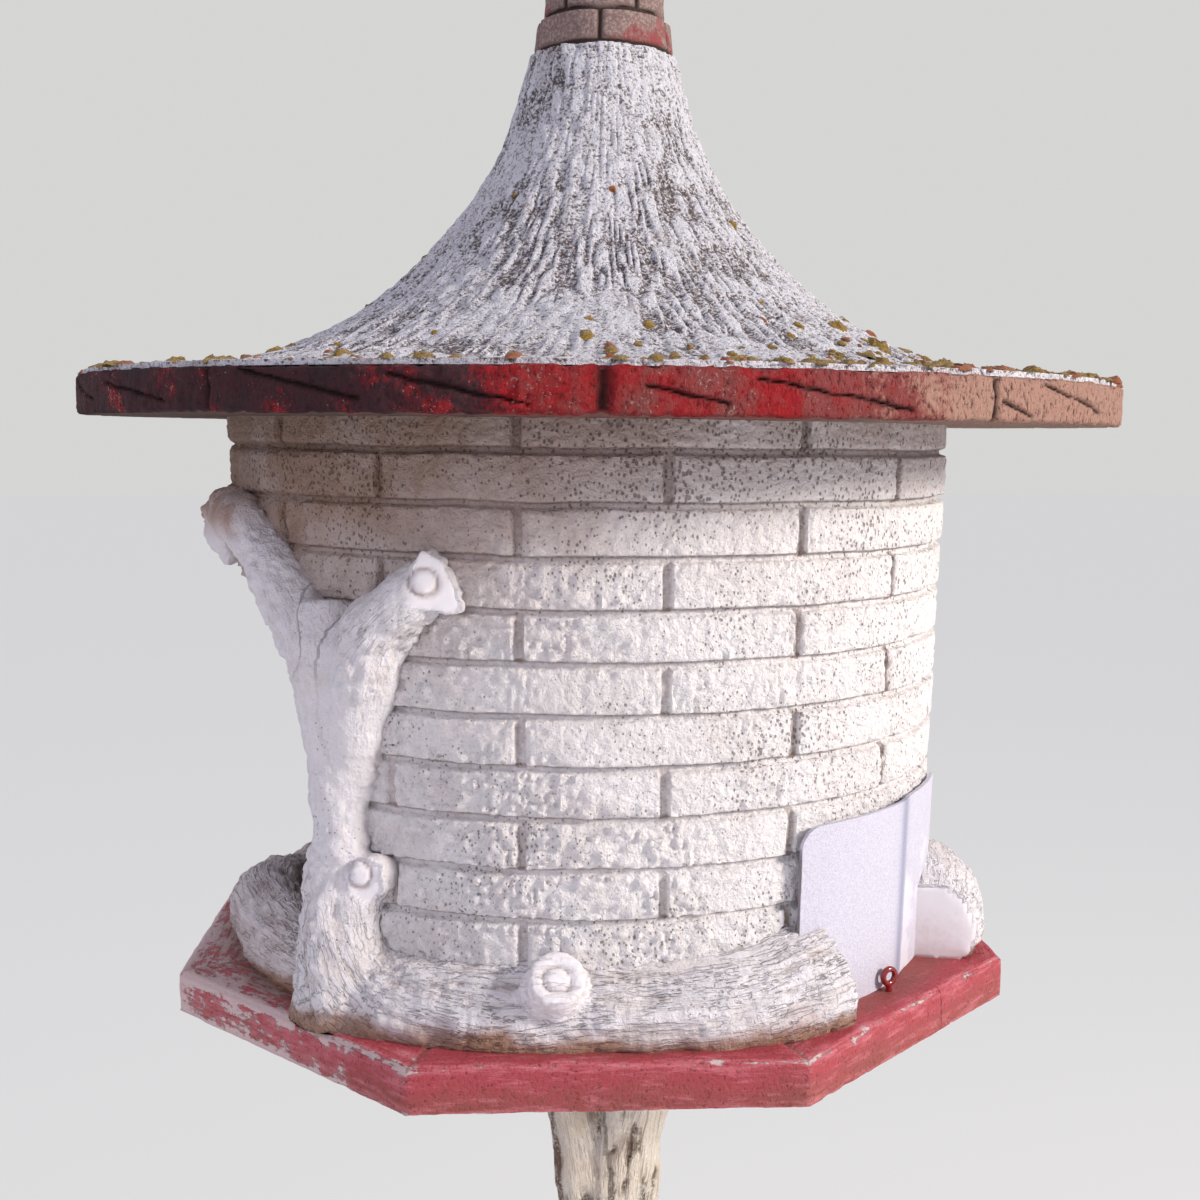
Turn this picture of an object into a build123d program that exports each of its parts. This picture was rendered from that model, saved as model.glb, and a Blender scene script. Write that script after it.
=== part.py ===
"""A garden bird feeder: a round house of cast concrete on a post like a tree trunk.

Millimetres, +Z up. The origin is on the ground under the middle of the roof.
The front is at -Y. Angles round the house are degrees from the front towards +X.
"""

import os
from math import cos, exp, radians, sin

from build123d import *

# Base plate: an octagonal slab that the house stands on
floor_height = 900.0
plate_thick = 28.0
plate_corner_radius = 295.0
plate_turn = 2.6
plate_chamfer = 3.0

# House: a round wall that leans out a little towards the eaves, 8 mm off the roof's middle
house_x = -8.0
wall_foot_radius = 236.5
wall_lean = 0.0344
wall_thick = 32.0
wall_height = 356.0

# Entrance: an arched opening on the left
entrance_angle = -82.0
entrance_half_angle = 39.0
entrance_spring_height = 180.0
entrance_crown_height = 268.0

# Tree round the entrance: how far its trunk stands beside the opening, and where it forks
trunk_beside = 5.5
fork_height = 222.0

# Hatch: a curved sheet that lifts out of its seat in front of a cleaning opening
hatch_angle = 55.0
hatch_half_angle = 25.0
hatch_height = 117.0
hatch_sheet = 2.5
hatch_corner = 8.0
hatch_clearance = 5.4
hatch_seat_gap = 0.3
hatch_lap_side = 6.0
hatch_lap_top = 12.0

# Screw eye on the plate, which keeps the foot of the sheet in place
eye_angle = 49.0
eye_turn = -20.0
eye_ring_radius = 4.6
eye_wire = 1.5
eye_shank = 5.0
eye_clearance = 1.2

# Roof: it sits a little crooked, its right side low
roof_tilt = 0.7
eave_radius = 350.0
eave_thick = 24.0
eave_inner_radius = 204.0
board_count = 10
board_end_bevel = 2.5
thatch_lip = 3.0
thatch_rim_inset = 4.0
thatch_height = 224.0
thatch_neck_radius = 50.0
thatch_wall = 24.0

# Chimney: five brick courses that go on with the curve of the roof
chimney_courses = 5
course_height = 23.5
chimney_foot_radius = 48.5
chimney_shaft_radius = 36.0
chimney_flare = 33.0
chimney_cap_overhang = 5.0
flue_radius = 17.0
joint_bevel = 1.6

# Post and its foot
post_x = 5.5
post_waist_radius = 32.0
foot_height = 70.0
foot_radius = 105.0
root_count = 6
root_reach = 210.0
root_radius = 34.0

# Worked out from the sizes above
wall_top_radius = wall_foot_radius + wall_lean * wall_height
roof_up = Vector(sin(radians(roof_tilt)), 0, cos(radians(roof_tilt)))
eave_centre = Vector(0, 0, floor_height + wall_height)
eave_plane = Plane(origin=eave_centre, z_dir=roof_up, x_dir=Vector(roof_up.Z, 0, -roof_up.X))
house_axis = Axis((house_x, 0, 0), (0, 0, 1))

os.makedirs("parts", exist_ok=True)


def outward(angle):
    """The level direction that points away from the house at an angle."""
    return Vector(sin(radians(angle)), -cos(radians(angle)), 0)


def wall_radius(height):
    """The wall's outer radius at a height above the floor."""
    return wall_foot_radius + wall_lean * height


def on_wall(angle, height, proud=0.0):
    """A point at an angle and a height above the floor, proud of the wall's face."""
    reach = outward(angle) * (wall_radius(height) + proud)
    return Vector(house_x, 0, floor_height + height) + reach


def house_section(angle):
    """The upright plane through the house's axis at an angle, X outward and Y up."""
    across = outward(angle).cross(Vector(0, 0, 1))
    return Plane(origin=(house_x, 0, floor_height), x_dir=outward(angle), z_dir=across)


def roof_section(angle):
    """The plane through the roof's axis at an angle, X outward and Y along the axis."""
    out = eave_plane.x_dir * sin(radians(angle)) - eave_plane.y_dir * cos(radians(angle))
    return Plane(origin=eave_centre, x_dir=out, z_dir=out.cross(roof_up))


def limb(stations, level=Vector(0, 0, 1)):
    """Loft a branch through circles square to its bent centre line.

    Each station is (point, radius). The direction level keeps the circles from twisting.
    """
    places = [place for place, radius in stations]
    rings = []
    for number, (place, radius) in enumerate(stations):
        before = places[max(number - 1, 0)]
        after = places[min(number + 1, len(places) - 1)]
        along = (after - before).normalized()
        side = (level - along * level.dot(along)).normalized()
        with BuildSketch(Plane(origin=place, x_dir=side, z_dir=along)) as ring:
            Circle(radius)
        rings.append(ring.sketch)
    loft(rings)


def write(piece, node):
    """Label a finished piece and write it as the node of that name."""
    piece.part.label = node
    export_step(piece.part, f"parts/{node}.step")


# Solids that only cut other pieces: the house's outside, the space under the floor
with BuildPart() as house_outside:
    with BuildSketch(house_section(0)):
        with BuildLine():
            Polyline(
                (0, 0), (wall_foot_radius, 0), (wall_top_radius, wall_height), (0, wall_height), close=True
            )
        make_face()
    revolve(axis=house_axis)

with BuildPart() as under_floor:
    with BuildSketch(Plane.XY.offset(floor_height)):
        Circle(2 * eave_radius)
    extrude(amount=-0.5 * eave_radius)


# Foot: a flared stump with roots that run out over the ground
with BuildPart() as root_foot:
    with BuildSketch(Plane.XZ):
        with BuildLine():
            flare = Spline(
                (post_x + foot_radius, 0),
                (post_x + 0.62 * foot_radius, 0.42 * foot_height),
                (post_x + 1.35 * post_waist_radius, foot_height),
                tangents=((-0.6, 1), (-0.25, 1)),
            )
            Polyline(flare @ 1, (post_x, foot_height), (post_x, 0), flare @ 0)
        make_face()
    revolve(axis=Axis((post_x, 0, 0), (0, 0, 1)))
    for number in range(root_count):
        away = outward(360 * number / root_count + 20)
        hub = Vector(post_x, 0, 0)
        limb(
            [
                (hub + away * 30 + Vector(0, 0, 46), root_radius),
                (hub + away * 85 + Vector(0, 0, 26), 0.95 * root_radius),
                (hub + away * 145 + Vector(0, 0, 10), 0.8 * root_radius),
                (hub + away * root_reach + Vector(0, 0, -3), 0.5 * root_radius),
            ]
        )
    split(bisect_by=Plane.XY, keep=Keep.TOP)
    with BuildSketch(Plane.XY.offset(foot_height)):
        Circle(3 * root_radius)
    extrude(amount=2 * root_radius, mode=Mode.SUBTRACT)
write(root_foot, "root_foot")

# Post: a bent trunk, thick at both ends, and the limb that forks off it to the left
post_top = floor_height - plate_thick
post_drawn_top = 872.0  # the bends were drawn for this height, and spread out with the post
post_stretch = post_top / post_drawn_top
trunk_line = [
    (Vector(post_x, 1, foot_height - 4), 1.42 * post_waist_radius),
    (Vector(post_x - 1, 2, 110 * post_stretch), 1.24 * post_waist_radius),
    (Vector(post_x - 2, 2, 170 * post_stretch), 1.1 * post_waist_radius),
    (Vector(post_x - 3, 1, 240 * post_stretch), 1.04 * post_waist_radius),
    (Vector(post_x - 3, 0, 330 * post_stretch), post_waist_radius),
    (Vector(post_x - 1, -2, 430 * post_stretch), post_waist_radius),
    (Vector(post_x + 1, -3, 520 * post_stretch), post_waist_radius),
    (Vector(post_x + 2, -2, 600 * post_stretch), 1.03 * post_waist_radius),
    (Vector(post_x + 4, 0, 655 * post_stretch), 1.06 * post_waist_radius),
    (Vector(post_x + 9, 2, 700 * post_stretch), post_waist_radius),
    (Vector(post_x + 15, 2, 745 * post_stretch), 0.95 * post_waist_radius),
    (Vector(post_x + 27, 3, 815 * post_stretch), 1.15 * post_waist_radius),
    (Vector(post_x + 36, 4, post_top), 1.6 * post_waist_radius),
]
with BuildPart() as post_trunk:
    limb(trunk_line, level=Vector(1, 0, 0))
    split(bisect_by=Plane.XY.offset(post_top), keep=Keep.BOTTOM)
    split(bisect_by=Plane.XY.offset(foot_height), keep=Keep.TOP)
write(post_trunk, "post_trunk")

with BuildPart() as post_limb:
    limb(
        [
            (Vector(post_x - 14, -4, 640 * post_stretch), 0.5 * post_waist_radius),
            (Vector(post_x - 20, -8, 690 * post_stretch), 0.56 * post_waist_radius),
            (Vector(post_x - 28, -9, 745 * post_stretch), 0.52 * post_waist_radius),
            (Vector(post_x - 46, -9, 810 * post_stretch), 0.6 * post_waist_radius),
            (Vector(post_x - 74, -8, post_top + 4), 0.85 * post_waist_radius),
        ],
        level=Vector(1, 0, 0),
    )
    split(bisect_by=Plane.XY.offset(post_top), keep=Keep.BOTTOM)
    add(post_trunk.part, mode=Mode.SUBTRACT)
write(post_limb, "post_limb")

# Base plate
with BuildPart() as base_plate:
    with BuildSketch(Plane(origin=(house_x, 0, post_top), x_dir=outward(plate_turn + 112.5))):
        RegularPolygon(plate_corner_radius, 8)
    extrude(amount=plate_thick)
    chamfer(base_plate.edges().group_by(Axis.Z)[-1], plate_chamfer)
write(base_plate, "base_plate")


# Wall: segments of a hollow round wall, cut off where the crooked roof sits on them
def wall_segment(start, end, foot=0.0):
    """One segment of the wall between two angles, from a height above the floor up to the roof."""
    with BuildPart() as segment:
        with BuildSketch(house_section(start)):
            with BuildLine():
                Polyline(
                    (wall_radius(foot) - wall_thick, foot),
                    (wall_radius(foot), foot),
                    (wall_radius(wall_height + 2 * plate_thick), wall_height + 2 * plate_thick),
                    (wall_radius(wall_height + 2 * plate_thick) - wall_thick, wall_height + 2 * plate_thick),
                    close=True,
                )
            make_face()
        revolve(axis=house_axis, revolution_arc=end - start)
        split(bisect_by=eave_plane, keep=Keep.BOTTOM)
    return segment


entrance_start = entrance_angle - entrance_half_angle
entrance_end = entrance_angle + entrance_half_angle
hatch_start = hatch_angle - hatch_half_angle + hatch_lap_side
hatch_end = hatch_angle + hatch_half_angle - hatch_lap_side
hatch_opening_height = hatch_height - hatch_lap_top
front_middle = (entrance_end + hatch_start) / 2
back_span = (entrance_start + 360 - hatch_end) / 4
segments = {
    "wall_front_left": (entrance_end, front_middle, 0),
    "wall_front_right": (front_middle, hatch_start, 0),
    "wall_over_hatch": (hatch_start, hatch_end, hatch_opening_height),
    "wall_right": (hatch_end, hatch_end + back_span, 0),
    "wall_back_right": (hatch_end + back_span, hatch_end + 2 * back_span, 0),
    "wall_back_left": (hatch_end + 2 * back_span, hatch_end + 3 * back_span, 0),
    "wall_left": (hatch_end + 3 * back_span, hatch_end + 4 * back_span, 0),
}
walls = {}
for node, (start, end, foot) in segments.items():
    walls[node] = wall_segment(start, end, foot)
    write(walls[node], node)

entrance_half_width = wall_radius(entrance_spring_height) * sin(radians(entrance_half_angle)) + 1.0
entrance_plane = Plane(
    origin=(house_x, 0, floor_height),
    x_dir=Vector(0, 0, 1).cross(outward(entrance_angle)),
    z_dir=outward(entrance_angle),
)
with BuildPart() as entrance_arch:
    add(wall_segment(entrance_start, entrance_end, entrance_spring_height).part)
    with BuildSketch(entrance_plane):
        with BuildLine():
            Line((-entrance_half_width, entrance_spring_height), (entrance_half_width, entrance_spring_height))
            ThreePointArc(
                (-entrance_half_width, entrance_spring_height),
                (0, entrance_crown_height),
                (entrance_half_width, entrance_spring_height),
            )
        make_face()
    extrude(amount=wall_top_radius * 1.2, mode=Mode.SUBTRACT)
write(entrance_arch, "entrance_arch")

# Tree that frames the entrance: a trunk, an upper branch and a sawn branch on each side
entrance_middle = Plane(
    origin=(house_x, 0, floor_height),
    z_dir=outward(entrance_angle).cross(Vector(0, 0, 1)),
    x_dir=outward(entrance_angle),
)
trunk_angle = entrance_end + trunk_beside


def sawn_end(outline, thickness):
    """Where a branch was sawn off: a flat outline of (angle, height, proud) on a block let into the wall."""
    corners = [on_wall(*corner) for corner in outline]
    middle = sum(corners, Vector(0, 0, 0)) / len(corners)
    facing = (corners[2] - corners[0]).cross(corners[3] - corners[1]).normalized()
    if facing.dot(Vector(middle.X - house_x, middle.Y, 0)) < 0:
        facing = facing * -1
    face = Plane(origin=middle, z_dir=facing)
    flat = [face.to_local_coords(corner) for corner in corners]
    with BuildSketch(face) as cut_end:
        with BuildLine():
            Polyline(*[(corner.X, corner.Y) for corner in flat], close=True)
        make_face()
    extrude(cut_end.sketch, amount=-thickness)


with BuildPart() as trunk_front:
    limb(
        [
            (on_wall(trunk_angle, -8, 4), 40),
            (on_wall(trunk_angle, 0.13 * fork_height, 4), 34),
            (on_wall(trunk_angle, 0.34 * fork_height, 3), 28),
            (on_wall(trunk_angle + 1, 0.53 * fork_height, 2), 22),
            (on_wall(trunk_angle + 1, 0.68 * fork_height, 2), 24),
            (on_wall(trunk_angle + 0.5, 0.85 * fork_height, 1), 28),
            (on_wall(trunk_angle - 0.5, fork_height, 0), 30),
            (on_wall(trunk_angle - 1, fork_height + 26, -4), 22),
        ],
        level=Vector(1, 0, 0),
    )
    add(house_outside.part, mode=Mode.SUBTRACT)
    add(under_floor.part, mode=Mode.SUBTRACT)

upper_bend_height = fork_height + 15 / 28 * (entrance_crown_height + 10 - fork_height)
with BuildPart() as upper_branch_front:
    limb(
        [
            (on_wall(entrance_end + 2, fork_height, 4), 21),
            (on_wall(entrance_end - 3, upper_bend_height, 5), 20),
            (on_wall(entrance_end - 9, entrance_crown_height + 10, 5), 19),
            (on_wall(entrance_end - 15, entrance_crown_height + 24, 3), 19),
            (on_wall(entrance_end - 24, entrance_crown_height + 28, 0), 18),
            (on_wall(entrance_angle, entrance_crown_height + 26, 0), 18),
        ]
    )
    add(house_outside.part, mode=Mode.SUBTRACT)
    add(trunk_front.part, mode=Mode.SUBTRACT)
    split(bisect_by=entrance_middle, keep=Keep.BOTTOM)

with BuildPart() as sawn_branch_front:
    limb(
        [
            (on_wall(trunk_angle + 4.5, fork_height - 26, 4), 20),
            (on_wall(trunk_angle + 7.5, fork_height + 4, 6), 20),
            (on_wall(trunk_angle + 12, fork_height + 26, 5), 19),
            (on_wall(trunk_angle + 16.5, fork_height + 42, 0), 17),
        ]
    )
    sawn_end(
        [
            (trunk_angle + 14.4, fork_height + 63, 18),
            (trunk_angle + 19.1, fork_height + 61, 10),
            (trunk_angle + 20.8, fork_height + 40, 6),
            (trunk_angle + 20.2, fork_height + 28, 6),
            (trunk_angle + 14.7, fork_height + 30, 19),
        ],
        24,
    )
    add(house_outside.part, mode=Mode.SUBTRACT)
    add(trunk_front.part, mode=Mode.SUBTRACT)
    add(upper_branch_front.part, mode=Mode.SUBTRACT)

with BuildPart() as trunk_stub_front:
    limb([(on_wall(trunk_angle + 4.5, 68, 4), 17), (on_wall(trunk_angle + 7.5, 88, 2), 14)])
    sawn_end(
        [
            (trunk_angle + 5.2, 90, 22),
            (trunk_angle + 6.5, 102, 20),
            (trunk_angle + 10.3, 103, 12),
            (trunk_angle + 10.6, 88, 10),
            (trunk_angle + 9, 80, 13),
            (trunk_angle + 6.3, 84, 19),
        ],
        22,
    )
    add(trunk_front.part, mode=Mode.SUBTRACT)
    add(house_outside.part, mode=Mode.SUBTRACT)

for node, front in {
    "trunk": trunk_front,
    "upper_branch": upper_branch_front,
    "sawn_branch": sawn_branch_front,
    "trunk_stub": trunk_stub_front,
}.items():
    write(front, f"{node}_front")
    with BuildPart() as rear:
        mirror(front.part, about=entrance_middle)
    write(rear, f"{node}_rear")

with BuildPart() as crown_stub:
    limb(
        [
            (on_wall(entrance_angle + 1, entrance_crown_height + 18, -6), 25),
            (on_wall(entrance_angle + 3, entrance_crown_height + 10, 14), 21),
        ]
    )
    add(house_outside.part, mode=Mode.SUBTRACT)
    add(upper_branch_front.part, mode=Mode.SUBTRACT)
    add(mirror(upper_branch_front.part, about=entrance_middle, mode=Mode.PRIVATE), mode=Mode.SUBTRACT)
write(crown_stub, "crown_stub")


# Logs that lie round the foot of the wall, sawn off at the hatch
def lying_log(stations):
    """A log along the foot of the wall; each station is (angle, height, proud, radius)."""
    limb([(on_wall(angle, height, proud), radius) for angle, height, proud, radius in stations])
    add(under_floor.part, mode=Mode.SUBTRACT)


with BuildPart() as front_log:
    lying_log(
        [
            (trunk_angle + 1.5, 4, -9, 42),
            (-26, 3, -8, 40),
            (-14, 4, -13, 40),
            (-3, 5, -19, 40),
            (8, 6, -17, 41),
            (20, 8, -9, 41),
            (hatch_start - 6, 13, -6, 42),
            (hatch_start, 16, -5, 42),
        ]
    )
    add(house_outside.part, mode=Mode.SUBTRACT)
    add(trunk_front.part, mode=Mode.SUBTRACT)
    add(trunk_stub_front.part, mode=Mode.SUBTRACT)

with BuildPart() as sill_log:
    lying_log(
        [
            (entrance_end + 2, 18, 2, 34),
            (entrance_end - 10, 20, -5, 29),
            (entrance_end - 22, 20, -8, 27),
            (entrance_end - 36, 19, -8, 26),
            (entrance_end - 48, 16, -9, 23),
            (entrance_end - 60, 10, -10, 18),
            (entrance_start - 2, 12, -6, 20),
        ]
    )
    add([walls["wall_front_left"].part, walls["wall_left"].part], mode=Mode.SUBTRACT)
    add(trunk_front.part, mode=Mode.SUBTRACT)
    add(mirror(trunk_front.part, about=entrance_middle, mode=Mode.PRIVATE), mode=Mode.SUBTRACT)

back_middle = (hatch_end + entrance_start + 360) / 2
with BuildPart() as back_log_right:
    lying_log(
        [
            (hatch_angle + 10, 20, 13, 33),
            (hatch_angle + 20, 22, 5, 38),
            (hatch_angle + 36, 16, -4, 40),
            (hatch_angle + 58, 8, -12, 41),
            (back_middle - 20, 5, -16, 41),
            (back_middle + 5, 5, -17, 41),
        ]
    )
    split(bisect_by=house_section(back_middle), keep=Keep.TOP)
    add(house_outside.part, mode=Mode.SUBTRACT)

with BuildPart() as back_log_left:
    lying_log(
        [
            (back_middle - 5, 5, -17, 41),
            (back_middle + 22, 5, -17, 40),
            (back_middle + 44, 4, -14, 40),
            (entrance_start + 360 - 7, 4, -9, 42),
        ]
    )
    split(bisect_by=house_section(back_middle), keep=Keep.BOTTOM)
    add(house_outside.part, mode=Mode.SUBTRACT)
    add(mirror(trunk_front.part, about=entrance_middle, mode=Mode.PRIVATE), mode=Mode.SUBTRACT)
    add(mirror(trunk_stub_front.part, about=entrance_middle, mode=Mode.PRIVATE), mode=Mode.SUBTRACT)

with BuildPart() as log_stub:
    limb([(on_wall(-3.2, 32, 4), 20), (on_wall(-2.6, 49, 20), 16)])
    add(front_log.part, mode=Mode.SUBTRACT)
    add(house_outside.part, mode=Mode.SUBTRACT)
write(log_stub, "log_stub")


# Hatch: a sheet bent to the wall, with a slot for its edges cut into the log ends
def hatch_shell(inner_gap, outer_gap, foot, top, half_angle):
    """The space between two gaps off the wall, over a range of heights and angles."""
    with BuildPart() as shell:
        with BuildSketch(house_section(hatch_angle - half_angle)):
            with BuildLine():
                Polyline(
                    (wall_radius(foot) + inner_gap, foot),
                    (wall_radius(foot) + outer_gap, foot),
                    (wall_radius(top) + outer_gap, top),
                    (wall_radius(top) + inner_gap, top),
                    close=True,
                )
            make_face()
        revolve(axis=house_axis, revolution_arc=2 * half_angle)
    return shell


hatch_outline = Plane(
    origin=(house_x, 0, floor_height),
    x_dir=Vector(0, 0, 1).cross(outward(hatch_angle)),
    z_dir=outward(hatch_angle),
)
hatch_width = 2 * wall_foot_radius * sin(radians(hatch_half_angle))
with BuildPart() as hatch_plate:
    add(
        hatch_shell(
            hatch_clearance, hatch_clearance + hatch_sheet, -1, hatch_height + 5, hatch_half_angle + 5
        ).part
    )
    with BuildSketch(hatch_outline):
        with Locations((0, hatch_seat_gap + hatch_height / 2)):
            RectangleRounded(hatch_width, hatch_height, hatch_corner)
    extrude(amount=2 * wall_foot_radius, mode=Mode.INTERSECT)
write(hatch_plate, "hatch_plate")

slot = hatch_shell(0, 2 * hatch_clearance + hatch_sheet, -5, hatch_height + 60, hatch_half_angle + 2)
with BuildPart() as slotted_front_log:
    add(front_log.part)
    add(slot.part, mode=Mode.SUBTRACT)
write(slotted_front_log, "front_log")
with BuildPart() as slotted_back_log:
    add(back_log_right.part)
    add(slot.part, mode=Mode.SUBTRACT)
write(slotted_back_log, "back_log_right")
write(back_log_left, "back_log_left")
write(sill_log, "sill_log")

# Screw eye: a shank in the plate and a ring on it
eye_proud = hatch_clearance + hatch_sheet + eye_clearance + eye_ring_radius
eye_foot = on_wall(eye_angle, 0, eye_proud)
eye_centre = eye_foot + Vector(0, 0, eye_shank + eye_ring_radius)
ring_normal = outward(eye_angle + eye_turn)
with BuildPart() as hatch_eye:
    with BuildSketch(Plane(origin=eye_foot)):
        Circle(eye_wire)
    extrude(amount=eye_shank)
    with BuildSketch(Plane(origin=eye_centre, x_dir=Vector(0, 0, 1), z_dir=ring_normal.cross(Vector(0, 0, 1)))):
        with Locations((eye_ring_radius, 0)):
            Circle(eye_wire)
    revolve(axis=Axis(eye_centre, ring_normal))
write(hatch_eye, "hatch_eye")

# Eave: ten boards, each a sector of the flat ring that carries the thatch
board_angle = 360 / board_count
for number in range(board_count):
    with BuildPart() as eave_board:
        with BuildSketch(roof_section(number * board_angle)):
            with Locations(((eave_radius + eave_inner_radius) / 2, eave_thick / 2)):
                Rectangle(eave_radius - eave_inner_radius, eave_thick)
        revolve(axis=Axis(eave_centre, roof_up), revolution_arc=board_angle)
        ends = eave_board.edges().filter_by(Axis(eave_centre, roof_up)).sort_by(
            lambda edge: -(edge.center() - eave_centre).length
        )
        chamfer(ends[:2], board_end_bevel)
    write(eave_board, f"eave_board_{number + 1}")

# Thatch: a hollow cap whose outside sweeps up from the eave to a narrow neck
with BuildPart() as roof_thatch:
    with BuildSketch(roof_section(0)):
        with BuildLine():
            sweep_up = Spline(
                (eave_radius - thatch_rim_inset, eave_thick + thatch_lip),
                (211, eave_thick + 0.11 * thatch_height),
                (137, eave_thick + 0.325 * thatch_height),
                (86, eave_thick + 0.595 * thatch_height),
                (thatch_neck_radius, eave_thick + thatch_height),
                tangents=((-1, 0.02), (-0.28, 1)),
            )
            inner_points = [
                sweep_up @ place + Vector(-(sweep_up % place).Y, (sweep_up % place).X) * thatch_wall
                for place in (0.45, 0.6, 0.78)
            ]
            hollow = Spline(
                (eave_inner_radius, eave_thick),
                *inner_points,
                (0, eave_thick + thatch_height - 2 * thatch_wall),
                tangents=((-1, 0.25), (-1, 0.4)),
            )
            Polyline(
                sweep_up @ 1, (0, eave_thick + thatch_height), hollow @ 1
            )
            Polyline(
                hollow @ 0, (eave_radius - thatch_rim_inset, eave_thick), sweep_up @ 0
            )
        make_face()
    revolve(axis=Axis(eave_centre, roof_up))
write(roof_thatch, "roof_thatch")


# Chimney: round courses with bevelled edges, and a corbelled one on top
def shaft_radius(height):
    """The chimney's radius at a height above its foot."""
    return chimney_shaft_radius + (chimney_foot_radius - chimney_shaft_radius) * exp(-height / chimney_flare)


chimney_foot = eave_thick + thatch_height
for number in range(chimney_courses):
    foot = number * course_height
    low = shaft_radius(foot)
    high = shaft_radius(foot + course_height)
    hole = 0
    if number == chimney_courses - 1:
        low = high = shaft_radius(foot) + chimney_cap_overhang
        hole = flue_radius
    with BuildPart() as course:
        with BuildSketch(roof_section(0)):
            with BuildLine():
                Polyline(
                    (hole, chimney_foot + foot),
                    (low - joint_bevel, chimney_foot + foot),
                    (low, chimney_foot + foot + joint_bevel),
                    (high, chimney_foot + foot + course_height - joint_bevel),
                    (high - joint_bevel, chimney_foot + foot + course_height),
                    (hole, chimney_foot + foot + course_height),
                    close=True,
                )
            make_face()
        revolve(axis=Axis(eave_centre, roof_up))
    write(course, f"chimney_course_{number + 1}")
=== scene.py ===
from itertools import product
from math import asin, cos, degrees, pi, radians, sin, tan

import bpy
import numpy as np
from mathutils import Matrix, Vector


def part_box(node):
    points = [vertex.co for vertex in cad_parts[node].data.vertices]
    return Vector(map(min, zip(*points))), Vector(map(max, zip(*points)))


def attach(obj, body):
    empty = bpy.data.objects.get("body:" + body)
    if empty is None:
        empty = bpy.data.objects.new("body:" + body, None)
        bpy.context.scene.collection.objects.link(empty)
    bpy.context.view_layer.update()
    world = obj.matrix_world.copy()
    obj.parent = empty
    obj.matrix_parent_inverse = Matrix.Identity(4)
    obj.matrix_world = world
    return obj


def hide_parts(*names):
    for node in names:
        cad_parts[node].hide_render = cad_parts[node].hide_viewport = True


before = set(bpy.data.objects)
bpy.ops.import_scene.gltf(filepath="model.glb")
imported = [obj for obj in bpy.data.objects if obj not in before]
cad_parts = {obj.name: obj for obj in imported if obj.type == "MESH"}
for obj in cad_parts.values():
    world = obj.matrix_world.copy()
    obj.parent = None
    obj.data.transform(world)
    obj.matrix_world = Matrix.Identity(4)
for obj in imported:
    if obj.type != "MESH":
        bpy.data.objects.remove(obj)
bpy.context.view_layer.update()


# Camera: where the photograph was taken, one metre in front of the house and a little
# above its middle, looking slightly down. A phone's lens is 44.5 mm on full frame.
camera_place = (-0.0045, -1.061, 1.247)
camera_looks_down = 6.37
camera_turns_right = 0.27
camera_lens = 44.5

camera_data = bpy.data.cameras.new("camera")
camera_data.lens = camera_lens
camera = bpy.data.objects.new("camera", camera_data)
camera.location = camera_place
camera.rotation_euler = (radians(90 - camera_looks_down), 0, radians(-camera_turns_right))
bpy.context.scene.collection.objects.link(camera)
bpy.context.scene.camera = camera


# Base plate: an octagonal slab of cast concrete with a chamfered top edge, under the
# house. It is painted red, and the paint is chipped pale along the edges.
mm = 0.001
plate_low, plate_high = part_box("base_plate")
house_x = (plate_low.x + plate_high.x) / 2
floor_z = plate_high.z
plate_thick = plate_high.z - plate_low.z
plate_corner_radius = 295 * mm
plate_corner_angle = 25.1
plate_chamfer = 3 * mm
plate_columns_per_side = 88
plate_red = "#a8414a"
plate_brick = "#8f4b43"
plate_pink = "#dd8690"
plate_dark = "#6e2426"
plate_bare = "#cdb4b2"
plate_dirt = "#7a5040"
plate_crack_at = 0.284


def linear(colour):
    """Linear red, green, blue and alpha of an sRGB hex colour."""
    parts = [int(colour[place : place + 2], 16) / 255 for place in (1, 3, 5)]
    return [part / 12.92 if part <= 0.04045 else ((part + 0.055) / 1.055) ** 2.4 for part in parts] + [1.0]


def per(size):
    """The scale of a pattern whose spots are about that many millimetres apart."""
    return 1 / (size * mm)


def smooth(low, high, value):
    """A soft step from 0 at low to 1 at high."""
    share = np.clip((value - low) / (high - low), 0, 1)
    return share * share * (3 - 2 * share)


def scatter(cell, seed):
    """A steady number from 0 to 1 for each cell of a grid of whole numbers."""
    mixed = cell[..., 0] * 73856093 ^ cell[..., 1] * 19349663 ^ cell[..., 2] * 83492791 ^ seed * 26544357
    mixed = mixed & 0xFFFFFFFF
    mixed = (mixed ^ mixed >> 15) * 1274126177 & 0xFFFFFFFF
    mixed = (mixed ^ mixed >> 13) * 739982445 & 0xFFFFFFFF
    return (mixed >> 8 & 0xFFFF) / 0xFFFF


def lumps(points, size, seed=0):
    """Smooth bumps from -1 to 1 over points, one bump about every size."""
    place = points / size
    cell = np.floor(place).astype(np.int64)
    share = place - cell
    share = share * share * (3 - 2 * share)
    total = np.zeros(points.shape[:-1])
    for corner in product((0, 1), repeat=3):
        weight = np.prod(np.where(corner, share, 1 - share), axis=-1)
        total += weight * scatter(cell + np.array(corner), seed)
    return 2 * total - 1


def crumble(points, size, layers, seed=0):
    """Bumps with finer bumps on them, from -1 to 1."""
    total = sum(lumps(points, size / 2**layer, seed + layer) / 1.7**layer for layer in range(layers))
    return total / sum(1 / 1.7**layer for layer in range(layers))


def round_house(angle, radius, height):
    """Points at an angle from the front, a radius off the house's axis and a height over the floor."""
    turn = np.radians(angle)
    x = house_x + radius * np.sin(turn)
    return np.stack(np.broadcast_arrays(x, -radius * np.cos(turn), floor_z + height), axis=-1)


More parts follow.
